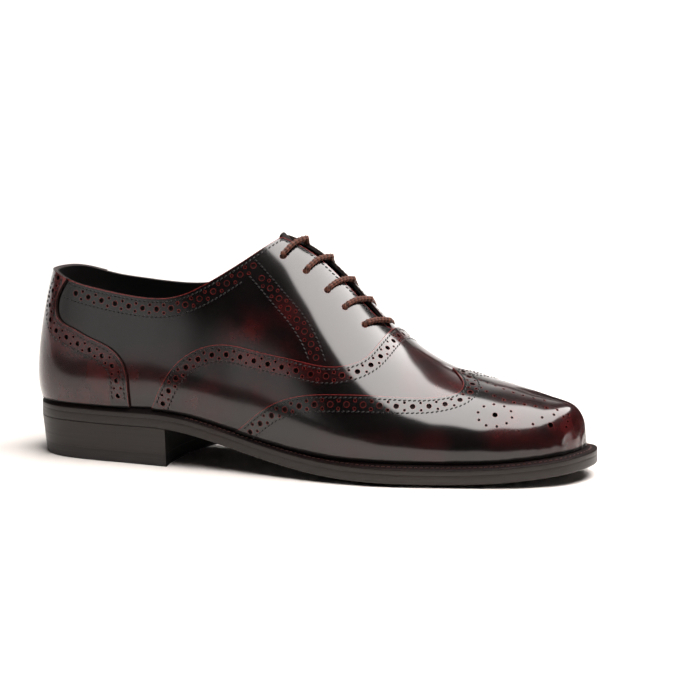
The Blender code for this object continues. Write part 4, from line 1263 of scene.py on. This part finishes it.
def makeLace():
    # round braid: two families of strands wind opposite ways, their product raises the tube
    corners = laceRoute()
    walk = np.concatenate([[0], np.cumsum(np.linalg.norm(np.diff(corners, axis=0), axis=1))])
    at = np.arange(0, walk[-1], lace["step"])
    path = pick(corners, walk, at)
    window = np.hanning(lace["smooth"]) / np.hanning(lace["smooth"]).sum()
    spare = lace["smooth"] // 2
    padded = np.concatenate([np.repeat(path[:1], spare, 0), path, np.repeat(path[-1:], spare, 0)])
    path = np.stack([np.convolve(column, window, "valid") for column in padded.T], -1)
    run = unit(np.gradient(path, axis=0))
    right = unit(np.cross(run, lace["guide"]))
    up = np.cross(right, run)
    angle = np.arange(lace["around"]) * 2 * np.pi / lace["around"]
    turn = 2 * np.pi * at[:, None] / lace["lay"]
    weave = np.cos(lace["strands"] * angle + turn) * np.cos(lace["strands"] * angle - turn)
    radius = lace["diameter"] / 2 + lace["weave"] * (weave - 0.5)
    points = path[:, None] + radius[..., None] * (np.cos(angle)[:, None] * right[:, None]
                                                  + np.sin(angle)[:, None] * up[:, None])
    ends = np.arange(lace["around"])
    faces = [gridFaces(len(path), lace["around"], wrapColumns=True),
             np.stack([ends[::-1], (len(path) - 1) * lace["around"] + ends])]
    material, tree, shader = newMaterial("waxed lace", Roughness=0.5, Specular_IOR_Level=0.2)
    # painted shade and painted highlight: the colour follows the braid's relief, dark in its hollows, light on its
    # crowns
    colour = mixColour(tree, ramp(tree, field(tree, "weave"), 0.0, 1.0), lace["dark"], lace["light"])
    link(tree, colour, shader.inputs["Base Color"])
    bump(tree, shader, (noise(tree, 2600.0, 2.0), 0.35, 0.0002))
    print("lace", round(walk[-1]), "mm of cord")
    return makeMesh("braided_lace", points.reshape(-1, 3), faces, [material],
                    fields={"weave": (weave.ravel() + 1) / 2}, sharpAngle=80)


lacePiece = makeLace()
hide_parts("lace")

studio = {
    "floor": (0.72, 0.69, 0.665), "half": 7.0, "back": 2.4, "bend": 0.6, "height": 1.0, "boxHeight": 1.15,
    "azimuth": 20.6, "elevation": 8.9, "distance": 1450.0, "lens": 145.5,
    "target": (150.0, 0.0, 55.0), "aside": (19.3, 3.5),     # the shoe stands a little left of and below the middle
    "softBox": np.array(((-0.24, -0.05, 0.30), (-0.16, -0.28, 0.36), (-0.06, -0.55, 0.40), (0.10, -0.78, 0.40),
                         (0.26, -0.96, 0.46), (0.42, -1.08, 0.85), (0.58, -1.08, 1.45), (0.74, -0.80, 1.45),
                         (0.91, -0.48, 1.2), (1.04, -0.15, 0.9))),
    "backBox": np.array(((-1.0, 0.75, 2.2), (-0.4, 0.75, 2.2), (0.15, 0.75, 2.2))),
    "flagX": (-7.0, 0.55, 0.56, 7.0), "flagNear": -7.0, "flagFar": (-0.24, -0.24, 1.6, 1.6), "flagHeight": 0.004,
    "screen": ((0.08, 0.50), 0.17, (0.004, 0.10)), "waist": ((-0.08, 0.02), 0.062, (0.001, 0.075)),     # x, y, z
    "behindX": (0.3, 0.9), "behindY": (0.3, 1.6), "behindZ": (0.35, 0.9),       # where the floor's own glow begins
    "aroundReach": (0.6, 1.7), "aroundGlow": 0.9, "aroundZ": (0.0, 0.02),
    "greyTurn": (12, 84), "greyReach": 2.0, "greyHeight": 0.9, "greyGlow": 1.1,
    "greyFrom": (12, 34), "greyDim": (38, 62), "greyTop": (0.40, 0.80),         # degrees, degrees, metres
    "sidePlace": 0.95, "sideFrom": (-0.10, 0.08), "sideTo": (0.18, 0.35), "sideHeight": 0.11, "sideGlow": 3.5,
    "cardColour": (0.02, 0.02, 0.02), "cardLight": (1.0, 0.955, 0.93),
}


def stageSheet(name, points, material, fields=None):
    # sheet of the studio from a grid of points in metres
    mesh = bpy.data.meshes.new(name)
    mesh.from_pydata(points.reshape(-1, 3).tolist(), [], gridFaces(*points.shape[:2]).tolist())
    mesh.shade_smooth()
    mesh.materials.append(material)
    for field, values in (fields or {}).items():
        mesh.attributes.new(field, "FLOAT", "POINT").data.foreach_set("value", values.astype(np.float32).ravel())
    sheet = bpy.data.objects.new(name, mesh)
    bpy.context.collection.objects.link(sheet)
    return sheet


def grid(x, y, z):
    # points of a sheet from coordinates that stretch over one another
    return np.stack(np.broadcast_arrays(x, y, z), -1)


def onlyInPolish(sheet):
    # seen by reflections alone
    sheet.visible_camera = sheet.visible_diffuse = sheet.visible_shadow = False


def makeFloor():
    # floor that bends up into a back wall: straight, quarter circle, straight; it glows far from the shoe
    turn = np.linspace(0, np.pi / 2, 12)
    half, back, bend = studio["half"], studio["back"], studio["bend"]
    y = np.concatenate([[-half], back - bend + bend * np.sin(turn), [back]])
    z = np.concatenate([[0], bend * (1 - np.cos(turn)), [studio["height"]]])
    material, tree, shader = newMaterial("pale floor", Roughness=0.8, Specular_IOR_Level=0.0)
    tint = mixColour(tree, noise(tree, 3.0, 2.0), studio["floor"], tuple(c * 0.985 for c in studio["floor"]))
    link(tree, tint, shader.inputs["Base Color"])
    link(tree, (1, 1, 1), shader.inputs["Emission Color"])
    spot = node(tree, "ShaderNodeTexCoord").outputs["Object"]
    place = node(tree, "ShaderNodeSeparateXYZ")
    reach = node(tree, "ShaderNodeVectorMath", operation="LENGTH")
    link(tree, spot, place.inputs["Vector"])
    link(tree, spot, reach.inputs[0])
    across, along, up = (place.outputs[axis] for axis in "XYZ")
    behind = calc(tree, "MULTIPLY", ramp(tree, along, *studio["behindY"]),
                  ramp(tree, across, *studio["behindX"], 1.0, 0.0))
    behind = calc(tree, "MULTIPLY", behind, ramp(tree, up, *studio["behindZ"], 1.0, 0.0))
    around = ramp(tree, reach.outputs["Value"], *studio["aroundReach"], 0.0, studio["aroundGlow"])
    around = calc(tree, "MULTIPLY", around, ramp(tree, up, *studio["aroundZ"], 1.0, 0.0))
    link(tree, calc(tree, "MAXIMUM", behind, around), shader.inputs["Emission Strength"])
    stageSheet("floor", grid(np.array((-half, half))[:, None], y[None], z[None]), material)


def makeFlags():
    # black card on the floor before the shoe and a low one behind the toe, which only the polish sees, so that
    # the sides stay dark above the floor's reflection; a third behind the waist keeps light out of the arch
    cloth = mottled("black cloth", (0.01, 0.01, 0.01), (0.014, 0.014, 0.014), (40.0,),
                    Roughness=0.9, Specular_IOR_Level=0.1)
    far = np.array(studio["flagFar"])
    lying = grid(np.array(studio["flagX"])[:, None], np.stack([np.full(len(far), studio["flagNear"]), far], -1),
                 studio["flagHeight"])
    screen, waist = (grid(np.array(x)[:, None], y, np.array(z)[None])
                     for x, y, z in (studio["screen"], studio["waist"]))
    onlyInPolish(stageSheet("black flag", lying, cloth))
    onlyInPolish(stageSheet("black screen", screen, cloth))
    flag = stageSheet("waist flag", waist, cloth)
    flag.visible_camera = flag.visible_glossy = False


def glowing(name, strength):
    # card that shines as strongly as its glow field says
    material, tree, shader = newMaterial(name, Roughness=0.9)
    link(tree, studio["cardColour"], shader.inputs["Base Color"])
    link(tree, studio["cardLight"], shader.inputs["Emission Color"])
    link(tree, calc(tree, "MULTIPLY", field(tree, "glow"), strength), shader.inputs["Emission Strength"])
    return material


def makeGreyCard():
    # dim curved card to the left of the camera, brightest low in its middle: the soft veil on the quarter
    turn = np.linspace(*studio["greyTurn"], 40)[:, None]
    z = np.linspace(0.0, studio["greyHeight"], 16)[None]
    points = grid(-studio["greyReach"] * np.sin(np.radians(turn)), -studio["greyReach"] * np.cos(np.radians(turn)), z)
    along = smoothStep(*studio["greyFrom"], turn) * (1 - 0.5 * smoothStep(*studio["greyDim"], turn))
    glow = along * (1 - smoothStep(*studio["greyTop"], z))
    onlyInPolish(stageSheet("grey card", points, glowing("grey card", studio["greyGlow"]), {"glow": glow}))


def makeSideCard():
    # narrow bright card to the right of the toe, seen only in the polish: it draws the lasting pleats
    y = np.linspace(studio["sideFrom"][0], studio["sideTo"][1], 31)[:, None]
    z = np.linspace(0, studio["sideHeight"], 9)[None]
    glow = smoothStep(*studio["sideFrom"], y) * (1 - smoothStep(*studio["sideTo"], y))
    onlyInPolish(stageSheet("side card", grid(studio["sidePlace"], y, z), glowing("side card", studio["sideGlow"]),
                            {"glow": np.repeat(glow, 9)}))


def makeSoftBox(name, edges, strength, feather):
    # overhead box with feathered borders: near and far edge at each place along the shoe, in metres
    x = np.linspace(edges[0, 0], edges[-1, 0], 49)
    near, far = naturalSpline(edges[:, 0], edges[:, 1:], x).T
    y = near[:, None] + (far - near)[:, None] * np.linspace(0, 1, 41)[None]
    inward = np.minimum(np.minimum(y - near[:, None], far[:, None] - y), np.minimum(x - x[0], x[-1] - x)[:, None])
    box = stageSheet(name, grid(x[:, None], y, studio["boxHeight"]), glowing(name, strength),
                     {"glow": smoothStep(0, feather, inward)})
    box.visible_camera = False


def softLight(name, place, size, power):
    # rectangle of light turned to the shoe
    light = bpy.data.lights.new(name, "AREA")
    light.shape = "RECTANGLE"
    light.size, light.size_y = size
    light.energy = power
    lamp = bpy.data.objects.new(name, light)
    lamp.location = place
    lamp.rotation_euler = (-Vector(place)).to_track_quat("-Z", "Y").to_euler()
    lamp.visible_glossy = False
    bpy.context.collection.objects.link(lamp)


def makeCamera():
    # fitted to the photograph's view of the shoe
    a, e = np.radians((studio["azimuth"], studio["elevation"]))
    back = np.array((np.sin(a) * np.cos(e), -np.cos(a) * np.cos(e), np.sin(e)))
    right = np.array((np.cos(a), np.sin(a), 0.0))
    up = np.cross(back, right)
    target = np.array(studio["target"]) - last["centre"]
    place = target + back * studio["distance"]
    aim = target + right * studio["aside"][0] + up * studio["aside"][1]
    data = bpy.data.cameras.new("camera")
    data.lens = studio["lens"]
    data.sensor_width = 36.0
    camera = bpy.data.objects.new("camera", data)
    camera.location = place * mm
    camera.rotation_euler = Vector((aim - place).tolist()).to_track_quat("-Z", "Y").to_euler()
    bpy.context.collection.objects.link(camera)
    bpy.context.scene.camera = camera


makeFloor()
makeCamera()
makeFlags()
makeSideCard()
makeSoftBox("soft box", studio["softBox"], strength=10.0, feather=0.10)
makeSoftBox("back box", studio["backBox"], strength=2.2, feather=0.45)
softLight("back light", (0.1, 0.9, 1.9), size=(1.7, 1.2), power=20)
makeGreyCard()
world = bpy.data.worlds.new("studio")
world.use_nodes = True
sky = world.node_tree.nodes["Background"]
sky.inputs["Color"].default_value = (0.9, 0.93, 1.0, 1)
sky.inputs["Strength"].default_value = 0.02
bpy.context.scene.world = world
bpy.context.scene.view_settings.view_transform = "Standard"
print("studio ready")
